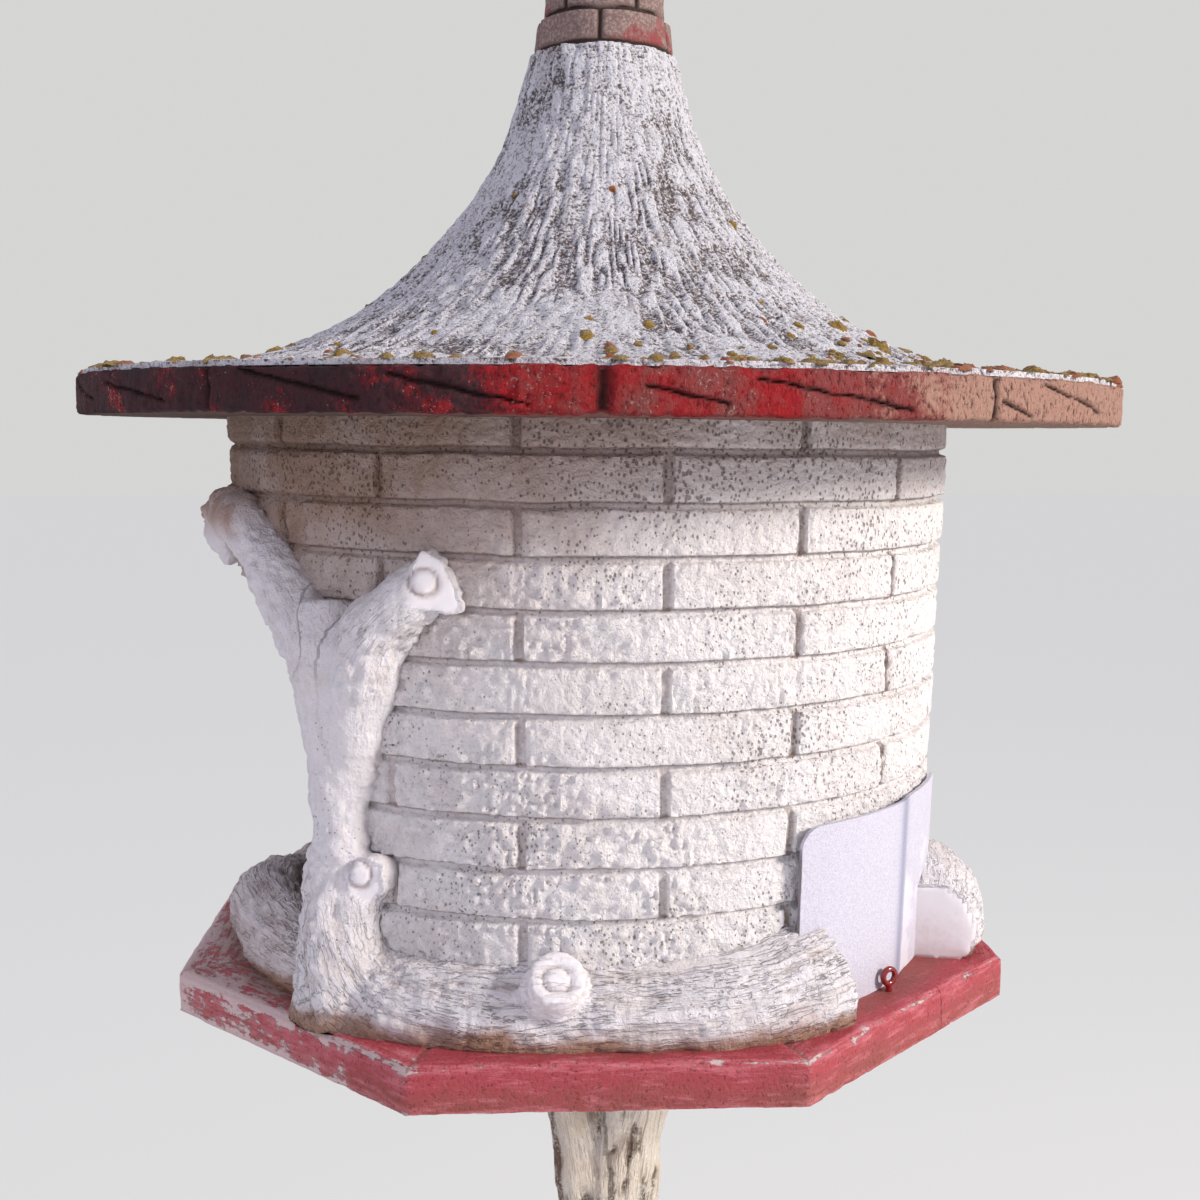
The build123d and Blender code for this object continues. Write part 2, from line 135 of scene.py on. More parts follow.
def raise_skin(points, amount, closed_rows, closed_columns):
    """Move a grid of points along its outward normals."""
    slopes = []
    for axis, closed in ((1, closed_columns), (0, closed_rows)):
        slope = np.gradient(points, axis=axis)
        if closed:
            slope = np.roll(points, -1, axis=axis) - np.roll(points, 1, axis=axis)
        slopes.append(slope)
    normal = np.cross(*slopes)
    normal /= np.maximum(np.linalg.norm(normal, axis=-1, keepdims=True), 1e-12)
    return points + normal * np.asarray(amount)[..., None]


def skin(name, points, closed_rows=True, closed_columns=False, capped=False, marks=None):
    """A mesh over a grid of points, its columns from left to right seen from outside, its rows upward."""
    rows, columns = points.shape[:2]
    index = np.arange(rows * columns).reshape(rows, columns)
    if closed_rows:
        index = np.vstack([index, index[:1]])
    if closed_columns:
        index = np.hstack([index, index[:, :1]])
    corners = (index[:-1, :-1], index[:-1, 1:], index[1:, 1:], index[1:, :-1])
    faces = np.stack(corners, axis=-1).reshape(-1, 4).tolist()
    if capped:
        faces.append(index[:rows, 0].tolist())
        faces.append(index[:rows, -1][::-1].tolist())
    mesh = bpy.data.meshes.new(name)
    mesh.from_pydata(points.reshape(-1, 3).tolist(), [], faces)
    for mark, values in (marks or {}).items():
        attribute = mesh.attributes.new(mark, "FLOAT", "POINT")
        attribute.data.foreach_set(
            "value", np.broadcast_to(values, (rows, columns)).ravel().astype(np.float32)
        )
    mesh.shade_smooth()
    mesh.set_sharp_from_angle(angle=radians(60))
    return mesh


def place_piece(name, mesh, material, nodes, body="house"):
    """Show a mesh as a piece that stands for CAD nodes."""
    piece = bpy.data.objects.new(name, mesh)
    bpy.context.scene.collection.objects.link(piece)
    mesh.materials.clear()
    mesh.materials.append(material)
    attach(piece, body)
    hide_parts(*nodes)
    return piece


def new_material(name):
    """A material with a Principled shader, and the coordinates of its own piece."""
    material = bpy.data.materials.new(name)
    material.use_nodes = True
    tree = material.node_tree
    tree.nodes.clear()
    shader = tree.nodes.new("ShaderNodeBsdfPrincipled")
    output = tree.nodes.new("ShaderNodeOutputMaterial")
    tree.links.new(shader.outputs["BSDF"], output.inputs["Surface"])
    place = tree.nodes.new("ShaderNodeTexCoord").outputs["Object"]
    return material, tree, shader, place


def add(tree, kind, inputs, output=0, **settings):
    """Add a node with its settings, input values and links, and give its output."""
    made = tree.nodes.new("ShaderNode" + kind)
    for name, value in settings.items():
        setattr(made, name, value)
    for name, value in inputs.items():
        if isinstance(value, bpy.types.NodeSocket):
            tree.links.new(value, made.inputs[name])
        else:
            made.inputs[name].default_value = value
    return made.outputs[output]


def red_masonry_paint():
    """Masonry paint, brushed: dull red, browner low down, flaked off in streaks to pale concrete."""
    material, tree, shader, place = new_material("red_masonry_paint")
    around = add(tree, "Attribute", {}, output="Fac", attribute_name="around")
    over = add(tree, "Attribute", {}, output="Fac", attribute_name="over")
    brushed = add(tree, "CombineXYZ", {0: around, 1: over, 2: 0.0})
    strokes = add(tree, "Mapping", {"Vector": brushed, "Scale": (per(26), per(5), 1.0)})
    streaks = add(tree, "TexNoise", {"Vector": strokes, "Scale": 1.0, "Detail": 7.0, "Roughness": 0.7})
    cloudy = add(tree, "TexNoise", {"Vector": place, "Scale": per(60), "Detail": 5.0, "Roughness": 0.6})
    low = add(tree, "Attribute", {}, output="Fac", attribute_name="low")
    brown = add(tree, "Math", {0: cloudy, 1: 0.8, 2: low}, operation="MULTIPLY_ADD")
    spotted = add(tree, "TexNoise", {"Vector": place, "Scale": per(7), "Detail": 5.0, "Roughness": 0.7})
    brown = add(tree, "Math", {0: spotted, 1: 0.8, 2: brown}, operation="MULTIPLY_ADD")
    browned = add(tree, "MapRange", {"Value": brown, "From Min": 0.9, "From Max": 1.45})
    colour = add(
        tree, "MixRGB", {"Fac": browned, "Color1": linear(plate_red), "Color2": linear(plate_brick)}
    )
    chip = add(tree, "Attribute", {}, output="Fac", attribute_name="chip")
    rubbed = add(tree, "Math", {0: chip, 1: 0.6, 2: streaks}, operation="MULTIPLY_ADD")
    faded = add(tree, "MapRange", {"Value": rubbed, "From Min": 0.53, "From Max": 0.8, "To Max": 0.8})
    colour = add(tree, "MixRGB", {"Fac": faded, "Color1": colour, "Color2": linear(plate_pink)})
    grit = add(tree, "TexNoise", {"Vector": place, "Scale": per(2.4), "Detail": 4.0, "Roughness": 0.7})
    hollow = add(tree, "MapRange", {"Value": grit, "From Min": 0.44, "From Max": 0.35, "To Max": 0.8})
    colour = add(tree, "MixRGB", {"Fac": hollow, "Color1": colour, "Color2": linear(plate_dark)})
    flakes = add(tree, "TexNoise", {"Vector": place, "Scale": per(9), "Detail": 7.0, "Roughness": 0.75})
    torn = add(tree, "Math", {0: streaks, 1: 0.6, 2: chip}, operation="MULTIPLY_ADD")
    torn = add(tree, "Math", {0: flakes, 1: 0.6, 2: torn}, operation="MULTIPLY_ADD")
    flaked = add(tree, "MapRange", {"Value": torn, "From Min": 0.87, "From Max": 0.91})
    colour = add(tree, "MixRGB", {"Fac": flaked, "Color1": colour, "Color2": linear(plate_bare)})
    dirt = add(tree, "Attribute", {}, output="Fac", attribute_name="dirt")
    soil = add(tree, "Math", {0: dirt, 1: flakes}, operation="ADD")
    soiled = add(tree, "MapRange", {"Value": soil, "From Min": 0.85, "From Max": 1.35, "To Max": 0.8})
    colour = add(tree, "MixRGB", {"Fac": soiled, "Color1": colour, "Color2": linear(plate_dirt)})
    wander = add(tree, "Math", {0: flakes, 1: 0.008, 2: around}, operation="MULTIPLY_ADD")
    beside = add(tree, "Math", {0: wander, 1: plate_crack_at}, operation="SUBTRACT")
    beside = add(tree, "Math", {0: beside}, operation="ABSOLUTE")
    crack = add(tree, "MapRange", {"Value": beside, "From Min": 0.4 * mm, "From Max": 0.1 * mm})
    colour = add(tree, "MixRGB", {"Fac": crack, "Color1": colour, "Color2": linear(plate_dark)})
    tree.links.new(colour, shader.inputs["Base Color"])
    shader.inputs["Roughness"].default_value = 0.62
    shader.inputs["Specular IOR Level"].default_value = 0.4
    height = add(tree, "Math", {0: flaked, 1: -0.5, 2: grit}, operation="MULTIPLY_ADD")
    height = add(tree, "Math", {0: crack, 1: -1.0, 2: height}, operation="MULTIPLY_ADD")
    relief = add(tree, "Bump", {"Height": height, "Strength": 0.8, "Distance": 1.8 * mm})
    tree.links.new(relief, shader.inputs["Normal"])
    return material


def plate_edge(angle):
    """The octagon's radius at an angle."""
    off_middle = (angle - plate_corner_angle) % 45 - 22.5
    return plate_corner_radius * cos(radians(22.5)) / np.cos(np.radians(off_middle))


def plate_mesh():
    """The slab as a grid, worn at its edges, over an outline that goes up its side and in on top."""
    side = np.linspace(0, plate_thick - plate_chamfer, 20)
    outline = [(inset * mm, 0) for inset in (280, 180, 90, 40, 15, 4)]
    outline += [(0, height) for height in side]
    outline += [
        (share * plate_chamfer, plate_thick - (1 - share) * plate_chamfer) for share in (0.33, 0.67, 1)
    ]
    outline += [(inset * mm, plate_thick) for inset in np.linspace(5.2, 64, 22)]
    outline += [(inset * mm, plate_thick) for inset in (90, 160, 280)]
    inset, height = np.array(outline).T[:, :, None]
    angle = plate_corner_angle + np.arange(8 * plate_columns_per_side) * 45 / plate_columns_per_side
    radius = plate_edge(angle) * (1 - inset / plate_corner_radius)
    points = round_house(angle, radius, height - plate_thick)
    around = np.broadcast_to(np.radians((angle + 180) % 360 - 180) * plate_corner_radius, radius.shape)
    over = np.broadcast_to(height + inset, radius.shape)
    to_edge = np.abs(height - plate_thick + plate_chamfer / 2) + np.maximum(inset - plate_chamfer, 0)
    to_edge = np.minimum(to_edge, height + inset)
    to_corner = (22.5 - np.abs((angle - plate_corner_angle) % 45 - 22.5)) * radians(1) * plate_corner_radius
    edge = np.exp(-to_edge / (3 * mm)) + 0.5 * np.exp(-to_corner / (3 * mm))
    toward = (angle + 180) % 360 - 180
    weather = smooth(-14, -46, toward) + smooth(100, 150, toward)
    broken = smooth(0.1, 0.6, crumble(points, 22 * mm, 3, seed=11))
    wear = 0.5 * mm * crumble(points, 26 * mm, 3, seed=12) + 0.2 * mm * lumps(points, 4 * mm, seed=13)
    wear = wear - 1.0 * mm * broken * np.minimum(edge, 1) - 0.7 * mm * np.minimum(edge, 1)
    points = raise_skin(points, np.minimum(wear, 0.3 * mm), True, True)
    chip = (
        0.26 * np.minimum(edge, 1) + 0.14 * broken
        + (0.26 + 0.1 * lumps(points, 50 * mm, seed=14)) * weather
    )
    on_top = height > plate_thick - plate_chamfer
    beside_logs = smooth(52 * mm, 20 * mm, radius - 230 * mm) * on_top
    mitre = np.exp(-((to_corner / (0.9 * mm)) ** 2)) * on_top
    points = points - 0.7 * mm * mitre[..., None] * np.array([0, 0, 1])
    marks = {
        "chip": chip, "dirt": 0.55 * beside_logs + 0.1 + 0.6 * mitre, "around": around, "over": over,
        "low": np.broadcast_to(np.where(on_top, 0, 0.55 * smooth(plate_thick, 0, height)), radius.shape),
    }
    return skin("base_slab", points, True, True, marks=marks)


place_piece("base_slab", plate_mesh(), red_masonry_paint(), ["base_plate"])


# Post: a forked tree trunk cast in concrete, with a stump and roots that spread over the
# ground. It is bare and weathered grey-beige, with bark ridges along its limbs.
post_x = 5.5 * mm
post_radius = 32 * mm
stump_height = 70 * mm
root_count = 6
post_voxel = 4.0 * mm
post_pale = "#e6dccb"
post_brown = "#7c685b"
post_dark = "#4f433a"
post_lichen = "#ecebe2"


def bend(stations, step):
    """A smooth line through stations of point and radius, as points and radii about a step apart."""
    knots = np.array([[*place, radius] for place, radius in stations])
    padded = np.vstack([2 * knots[0] - knots[1], knots, 2 * knots[-1] - knots[-2]])
    runs = []
    for before, start, end, after in zip(padded, padded[1:], padded[2:], padded[3:]):
        count = max(int(np.linalg.norm((end - start)[:3]) / step), 2)
        t = np.linspace(0, 1, count, endpoint=False)[:, None]
        curve = 2 * start + (end - before) * t + (2 * before - 5 * start + 4 * end - after) * t**2
        runs.append(0.5 * (curve + (3 * start - before - 3 * end + after) * t**3))
    line = np.vstack([*runs, knots[-1:]])
    return line[:, :3], line[:, 3]


def limb(stations, level=(0, 0, 1)):
    """A branch round a bent line: centres, radii, directions, lengths and two directions across."""
    centres, radii = bend(stations, 5 * mm)
    along = np.gradient(centres, axis=0)
    along /= np.linalg.norm(along, axis=1, keepdims=True)
    side = np.array(level, float) - along * (along @ np.array(level, float))[:, None]
    side /= np.linalg.norm(side, axis=1, keepdims=True)
    steps = np.linalg.norm(np.diff(centres, axis=0), axis=1)
    length = np.concatenate([[0], np.cumsum(steps)])
    return {
        "centres": centres, "radii": radii, "along": along,
        "side": side, "up": np.cross(along, side), "length": length,
    }


def cast_skin(name, limbs, voxel, extra=()):
    """One skin over several limbs that run into each other, as a casting has."""
    tubes = bpy.data.meshes.new(name)
    corners, faces = [], []
    turns = np.linspace(0, 2 * pi, 28, endpoint=False)
    for branch in limbs:
        rings = (
            np.cos(turns)[:, None] * branch["side"][:, None]
            + np.sin(turns)[:, None] * branch["up"][:, None]
        )
        rings = branch["centres"][:, None] + rings * branch["radii"][:, None, None]
        first = len(corners)
        rows, sides = rings.shape[:2]
        corners.extend(rings.reshape(-1, 3).tolist())
        for row in range(rows - 1):
            for turn in range(sides):
                after = (turn + 1) % sides
                low, high = first + row * sides, first + (row + 1) * sides
                faces.append((low + turn, low + after, high + after, high + turn))
        faces.append([first + turn for turn in reversed(range(sides))])
        faces.append([first + (rows - 1) * sides + turn for turn in range(sides)])
    for more_corners, more_faces in extra:
        faces.extend([[corner + len(corners) for corner in face] for face in more_faces])
        corners.extend(more_corners)
    tubes.from_pydata(corners, [], faces)
    casting = bpy.data.objects.new(name, tubes)
    bpy.context.scene.collection.objects.link(casting)
    remesh = casting.modifiers.new("voxels", "REMESH")
    remesh.mode = "VOXEL"
    remesh.voxel_size = voxel
    soften = casting.modifiers.new("soften", "SMOOTH")
    soften.factor = 0.5
    soften.iterations = 5
    seen = bpy.context.evaluated_depsgraph_get()
    mesh = bpy.data.meshes.new_from_object(casting.evaluated_get(seen))
    bpy.data.objects.remove(casting)
    mesh.name = name
    return mesh


def corners_of(mesh):
    """The points of a mesh and the outward direction at each."""
    points = np.zeros(3 * len(mesh.vertices))
    normals = np.zeros(3 * len(mesh.vertices))
    mesh.vertices.foreach_get("co", points)
    mesh.vertex_normals.foreach_get("vector", normals)
    return points.reshape(-1, 3), normals.reshape(-1, 3)


def grain_direction(points, normals, lines):
    """Which way the bark runs at each point, blended from the limbs near it, and its place there."""
    centres = np.vstack([branch["centres"] for branch in lines])
    along = np.vstack([branch["along"] for branch in lines])
    lengths = np.concatenate([branch["length"] + number for number, branch in enumerate(lines)])
    grain, on_limb = np.zeros_like(points), np.zeros((len(points), 4))
    for start in range(0, len(points), 20000):
        part = slice(start, start + 20000)
        gap = np.linalg.norm(points[part, None] - centres[None], axis=-1)
        grain[part] = np.exp((gap.min(1, keepdims=True) - gap) / (6 * mm)) @ along
        nearest = gap.argmin(1)
        off_line = points[part] - centres[nearest]
        beyond = (off_line * along[nearest]).sum(1)
        on_limb[part, :3] = off_line - beyond[:, None] * along[nearest]
        on_limb[part, 3] = lengths[nearest] + beyond
    grain -= (grain * normals).sum(1, keepdims=True) * normals
    return grain / np.maximum(np.linalg.norm(grain, axis=1, keepdims=True), 1e-9), on_limb


def drawn_out(points, grain, width, reach, seed):
    """Bumps of a width, drawn out along the grain, with a usual height of 1."""
    total = sum(lumps(points + share * reach * grain, width, seed) for share in np.linspace(-1, 1, 9))
    return total / total.std()


def bark_relief(points, normals, lines, ridge_width, reach, seed):
    """Bark: 0 in a crack to 1 on a ridge, and each point's place on its limb."""
    grain, on_limb = grain_direction(points, normals, lines)
    wavy = points + 0.35 * ridge_width * np.stack(
        [lumps(points, 16 * mm, seed + part) for part in (5, 6, 7)], -1
    )
    coarse = drawn_out(wavy, grain, ridge_width, reach, seed)
    fine = drawn_out(wavy, grain, 0.55 * ridge_width, 0.6 * reach, seed + 9)
    ridge = 0.68 * smooth(-1.5, -0.1, coarse) + 0.32 * smooth(-1.4, 0.2, fine)
    return ridge, on_limb


def finish_cast(mesh, points, on_limb, marks):
    """Put changed points, their places on the limbs and painted marks back on a mesh."""
    mesh.vertices.foreach_set("co", points.ravel())
    attribute = mesh.attributes.new("off_line", "FLOAT_VECTOR", "POINT")
    attribute.data.foreach_set("vector", on_limb[:, :3].astype(np.float32).ravel())
    for mark, values in (*marks.items(), ("along_line", on_limb[:, 3])):
        attribute = mesh.attributes.new(mark, "FLOAT", "POINT")
        attribute.data.foreach_set("value", np.asarray(values, np.float32))
    mesh.update()
    mesh.shade_smooth()
    return mesh


def bark_streaks(tree, width, reach):
    """Fine noise for a shader, of a width and drawn out along the limb."""
    off_line = add(tree, "Attribute", {}, output="Vector", attribute_name="off_line")
    along = add(tree, "Attribute", {}, output="Fac", attribute_name="along_line")
    along = add(tree, "Math", {0: along, 1: width / reach}, operation="MULTIPLY")
    noise = {"Vector": off_line, "W": along, "Scale": per(width), "Detail": 3.0, "Roughness": 0.6}
    return add(tree, "TexNoise", noise, noise_dimensions="4D")


def weathered_concrete():
    """Bare cast concrete: pale sanded ridges, brown cracks, a thin crust of lichen, and painted shade
    browning the side that faces left.
    """
    material, tree, shader, place = new_material("weathered_concrete")
    ridge = add(tree, "Attribute", {}, output="Fac", attribute_name="ridge")
    streaks = bark_streaks(tree, 5.0, 40.0)
    wrinkle = add(tree, "MapRange", {"Value": streaks, "From Min": 0.42, "From Max": 0.58})
    patches = add(tree, "TexNoise", {"Vector": place, "Scale": per(30), "Detail": 6.0, "Roughness": 0.65})
    grit = add(tree, "TexNoise", {"Vector": place, "Scale": per(2.2), "Detail": 4.0, "Roughness": 0.7})
    level = add(tree, "Math", {0: patches, 1: ridge}, operation="ADD")
    level = add(tree, "Math", {0: wrinkle, 1: 0.6, 2: level}, operation="MULTIPLY_ADD")
    # Painted shade: surfaces that face left turn browner, as if in shade.
    side_weight = add(tree, "Attribute", {}, output="Fac", attribute_name="side_weight")
    level = add(tree, "Math", {0: side_weight, 1: -0.9, 2: level}, operation="MULTIPLY_ADD")
    stained = add(tree, "MapRange", {"Value": level, "From Min": 1.3, "From Max": 0.75})
    colour = add(tree, "MixRGB", {"Fac": stained, "Color1": linear(post_pale), "Color2": linear(post_brown)})
    deep = add(tree, "Math", {0: grit, 1: 0.8, 2: ridge}, operation="MULTIPLY_ADD")
    deep = add(tree, "MapRange", {"Value": deep, "From Min": 0.85, "From Max": 0.45})
    colour = add(tree, "MixRGB", {"Fac": deep, "Color1": colour, "Color2": linear(post_dark)})
    crust = add(tree, "Math", {0: patches, 1: grit}, operation="ADD")
    crusted = add(tree, "MapRange", {"Value": crust, "From Min": 1.02, "From Max": 1.16, "To Max": 0.75})
    colour = add(tree, "MixRGB", {"Fac": crusted, "Color1": colour, "Color2": linear(post_lichen)})
    tree.links.new(colour, shader.inputs["Base Color"])
    shader.inputs["Roughness"].default_value = 0.9
    shader.inputs["Specular IOR Level"].default_value = 0.25
    height = add(tree, "Math", {0: wrinkle, 1: 1.2, 2: grit}, operation="MULTIPLY_ADD")
    relief = add(tree, "Bump", {"Height": height, "Strength": 0.8, "Distance": 3.5 * mm})
    tree.links.new(relief, shader.inputs["Normal"])
    return material


def post_mesh():
    """The trunk, its limb, the stump and the roots in one skin, with bark pressed into it."""
    top = floor_z - plate_thick
    across = (1, 0, 0)
    trunk_stations = [
        ((post_x, 0, -0.006), 3.25 * post_radius),
        ((post_x, 0, 0.012), 2.55 * post_radius),
        ((post_x, 0, 0.034), 1.85 * post_radius),
        ((post_x, 0.001, stump_height - 0.004), 1.42 * post_radius),
        ((post_x - 0.001, 0.002, 0.11), 1.24 * post_radius),
        ((post_x - 0.002, 0.002, 0.17), 1.1 * post_radius),
        ((post_x - 0.003, 0.001, 0.24), 1.04 * post_radius),
        ((post_x - 0.003, 0, 0.33), post_radius),
        ((post_x - 0.001, -0.002, 0.43), post_radius),
        ((post_x + 0.001, -0.003, 0.52), post_radius),
        ((post_x + 0.002, -0.002, 0.6), 1.03 * post_radius),
        ((post_x + 0.004, 0, 0.655), 1.06 * post_radius),
        ((post_x + 0.009, 0.002, 0.7), post_radius),
        ((post_x + 0.015, 0.002, 0.745), 0.95 * post_radius),
        ((post_x + 0.027, 0.003, 0.815), 1.15 * post_radius),
        ((post_x + 0.036, 0.004, top + 0.004), 1.6 * post_radius),
    ]
    limb_stations = [
        ((post_x - 0.014, -0.004, 0.64), 0.5 * post_radius),
        ((post_x - 0.020, -0.008, 0.69), 0.56 * post_radius),
        ((post_x - 0.028, -0.009, 0.745), 0.52 * post_radius),
        ((post_x - 0.046, -0.009, 0.81), 0.6 * post_radius),
        ((post_x - 0.074, -0.008, top + 0.004), 0.85 * post_radius),
    ]
    limbs = [limb(trunk_stations, across), limb(limb_stations, across)]
    for number in range(root_count):
        turn = radians(360 * number / root_count + 20)
        away = np.array([sin(turn), -cos(turn), 0])
        hub = np.array([post_x, 0, 0])
        root_radius = 34 * mm
        limbs.append(
            limb(
                [
                    (hub + away * 0.03 + np.array([0, 0, 0.046]), root_radius),
                    (hub + away * 0.085 + np.array([0, 0, 0.026]), 0.95 * root_radius),
                    (hub + away * 0.145 + np.array([0, 0, 0.010]), 0.8 * root_radius),
                    (hub + away * 0.209 + np.array([0, 0, -0.003]), 0.5 * root_radius),
                ]
            )
        )
    mesh = cast_skin("tree_post", limbs, post_voxel)
    points, normals = corners_of(mesh)
    lines = [limb(trunk_stations[::-1], across), limb(limb_stations[::-1], across), *limbs[2:]]
    ridge, on_limb = bark_relief(points, normals, lines, 8 * mm, 34 * mm, seed=20)
    height = 3.0 * mm * (ridge - 0.8) + 3.4 * mm * crumble(points, 30 * mm, 3, seed=24)
    points = points + normals * height[:, None]
    points[:, 2] = np.clip(points[:, 2], 0, top + 0.5 * mm)
    # Painted shade: the side facing left is marked for a browner colour, as if in shade.
    side_weight = smooth(-0.15, -0.75, normals[:, 0])
    return finish_cast(mesh, points, on_limb, {"ridge": ridge, "side_weight": side_weight})


place_piece(
    "tree_post", post_mesh(), weathered_concrete(),
    ["root_foot", "post_trunk", "post_limb"],
)


# Wall: the round house is cast with a pattern of long bricks and deep joints, and thickly
# brushed with white masonry paint. Dirt has settled in its joints and pits. Under the eave
# and on the left side the paint is tan with dirt and painted shade, and a painted shadow
# lies under each brick's lower edge.
wall_foot_radius = 236.5 * mm
wall_lean = 0.0344
wall_thick = 32 * mm
wall_height = 356 * mm
roof_tilt = 0.7
course_height = 29.94 * mm
lowest_bed = 8.5 * mm
brick_angle = 39.2
first_head = 10.6
joint_half_width = 1.9 * mm
head_half_width = 2.6 * mm
joint_depth = 4.6 * mm
entrance_angle = -82.0
arch_crown = 268 * mm
arch_spring = 180 * mm
arch_half_width = 153.7 * mm
paint_white = "#fbf8f8"
paint_shade = "#e6dbd7"
paint_tan = "#a88c7b"
paint_dirt = "#8d7164"
paint_ochre = "#a98347"
paint_pit = "#5f4b42"


def wall_radius(height):
    """The wall's outer radius at a height over the floor."""
    return wall_foot_radius + wall_lean * height


def brick_relief(angle, height):
    """How far the brick pattern stands out at points of the wall, and where its joints darken with dirt and
    painted shadow.
    """
    radius = wall_radius(height)
    angle = (angle + 180) % 360 - 180
    place = round_house(angle, radius, height)
    wander = 0.7 * mm * lumps(place, 40 * mm, seed=31) + 0.3 * mm * lumps(place, 7 * mm, seed=32)
    lift = (height + wander - lowest_bed) / course_height
    course = np.floor(lift)
    turn = (angle - first_head) / brick_angle + 0.5 * (course % 2)
    over_bed = (lift - np.round(lift)) * course_height
    to_head = np.abs(turn - np.round(turn)) * radians(brick_angle) * radius + 0.5 * wander
    to_head = to_head - (head_half_width - joint_half_width)
    gap = np.minimum(np.abs(over_bed), to_head)
    joint = 1 - smooth(joint_half_width - 0.7 * mm, joint_half_width + 0.7 * mm, gap)
    brick = np.stack([course, np.round(turn - 0.5), 0 * course], -1).astype(np.int64)
    proud = 0.6 * mm * (2 * scatter(brick, 33) - 1)
    worn_edge = -0.9 * mm * np.exp(-np.maximum(gap - joint_half_width, 0) / (1.3 * mm))
    chisel = np.abs(lumps(place, 5.6 * mm, seed=38)) + 0.7 * np.abs(lumps(place, 3.6 * mm, seed=39))
    top_smooth = smooth(330 * mm, 230 * mm, height)
    rough = 0.35 + 0.65 * top_smooth * smooth(-0.25, 0.1, crumble(place, 50 * mm, 2, seed=30) + 0.12)
    face = (
        0.5 * mm * crumble(place, 34 * mm, 2, seed=34)
        + 4.4 * mm * rough * (np.minimum(chisel, 0.9) - 0.5)
    )
    # Bricks that the hatch slides past are flat enough to clear its sheet.
    past_hatch = smooth(27, 30, angle) * smooth(92, 86, angle) * smooth(300 * mm, 280 * mm, height)
    face = np.minimum(face, (2 - 1.6 * past_hatch) * mm)
    relief = (1 - joint) * (face + worn_edge + proud) - joint * joint_depth
    head = 1 - smooth(joint_half_width, joint_half_width + 0.8 * mm, to_head)
    # Painted shadow: a dark line just under each brick's lower edge, where the brick above shades the bed
    # joint.
    painted_shadow_under_brick = np.exp(-(((over_bed - 1.9 * mm) / (0.9 * mm)) ** 2))
    # Head joints get darker towards the right: dirt, and painted shade in the grooves there.
    head_joint_dirt_and_shade = 0.3 + 0.4 * smooth(15, 45, angle)
    soil = np.clip(head_joint_dirt_and_shade * head + 0.8 * painted_shadow_under_brick + 0.2 * joint, 0, 1)
    return relief, soil


def close_at_joints(count, tightness):
    """Shares from 0 to 1, closer together at both ends, where the joints are."""
    share = np.arange(count) / count
    return share - tightness * np.sin(2 * pi * share) / (2 * pi)


def wall_grid_angles(start, end, count):
    """Angles from start to end that lie closer together at the head joints."""
    half = brick_angle / 2
    zones = np.arange(np.floor((start - first_head) / half), np.ceil((end - first_head) / half))
    angles = np.concatenate([first_head + half * (zone + close_at_joints(count, 0.5)) for zone in zones])
    inside = angles[(angles > start + 0.15) & (angles < end - 0.15)]
    return np.concatenate([[start], inside, [end]])


def wall_grid_heights(foot, count):
    """Heights from the foot to the eave that lie closer together at the bed joints."""
    courses = np.arange(-1, np.ceil(wall_height / course_height))
    heights = np.concatenate(
        [lowest_bed + course_height * (row + close_at_joints(count, 0.6)) for row in courses]
    )
    inside = heights[(heights > foot + 0.4 * mm) & (heights < wall_height - 0.4 * mm)]
    return np.concatenate([[foot], inside, [wall_height]])


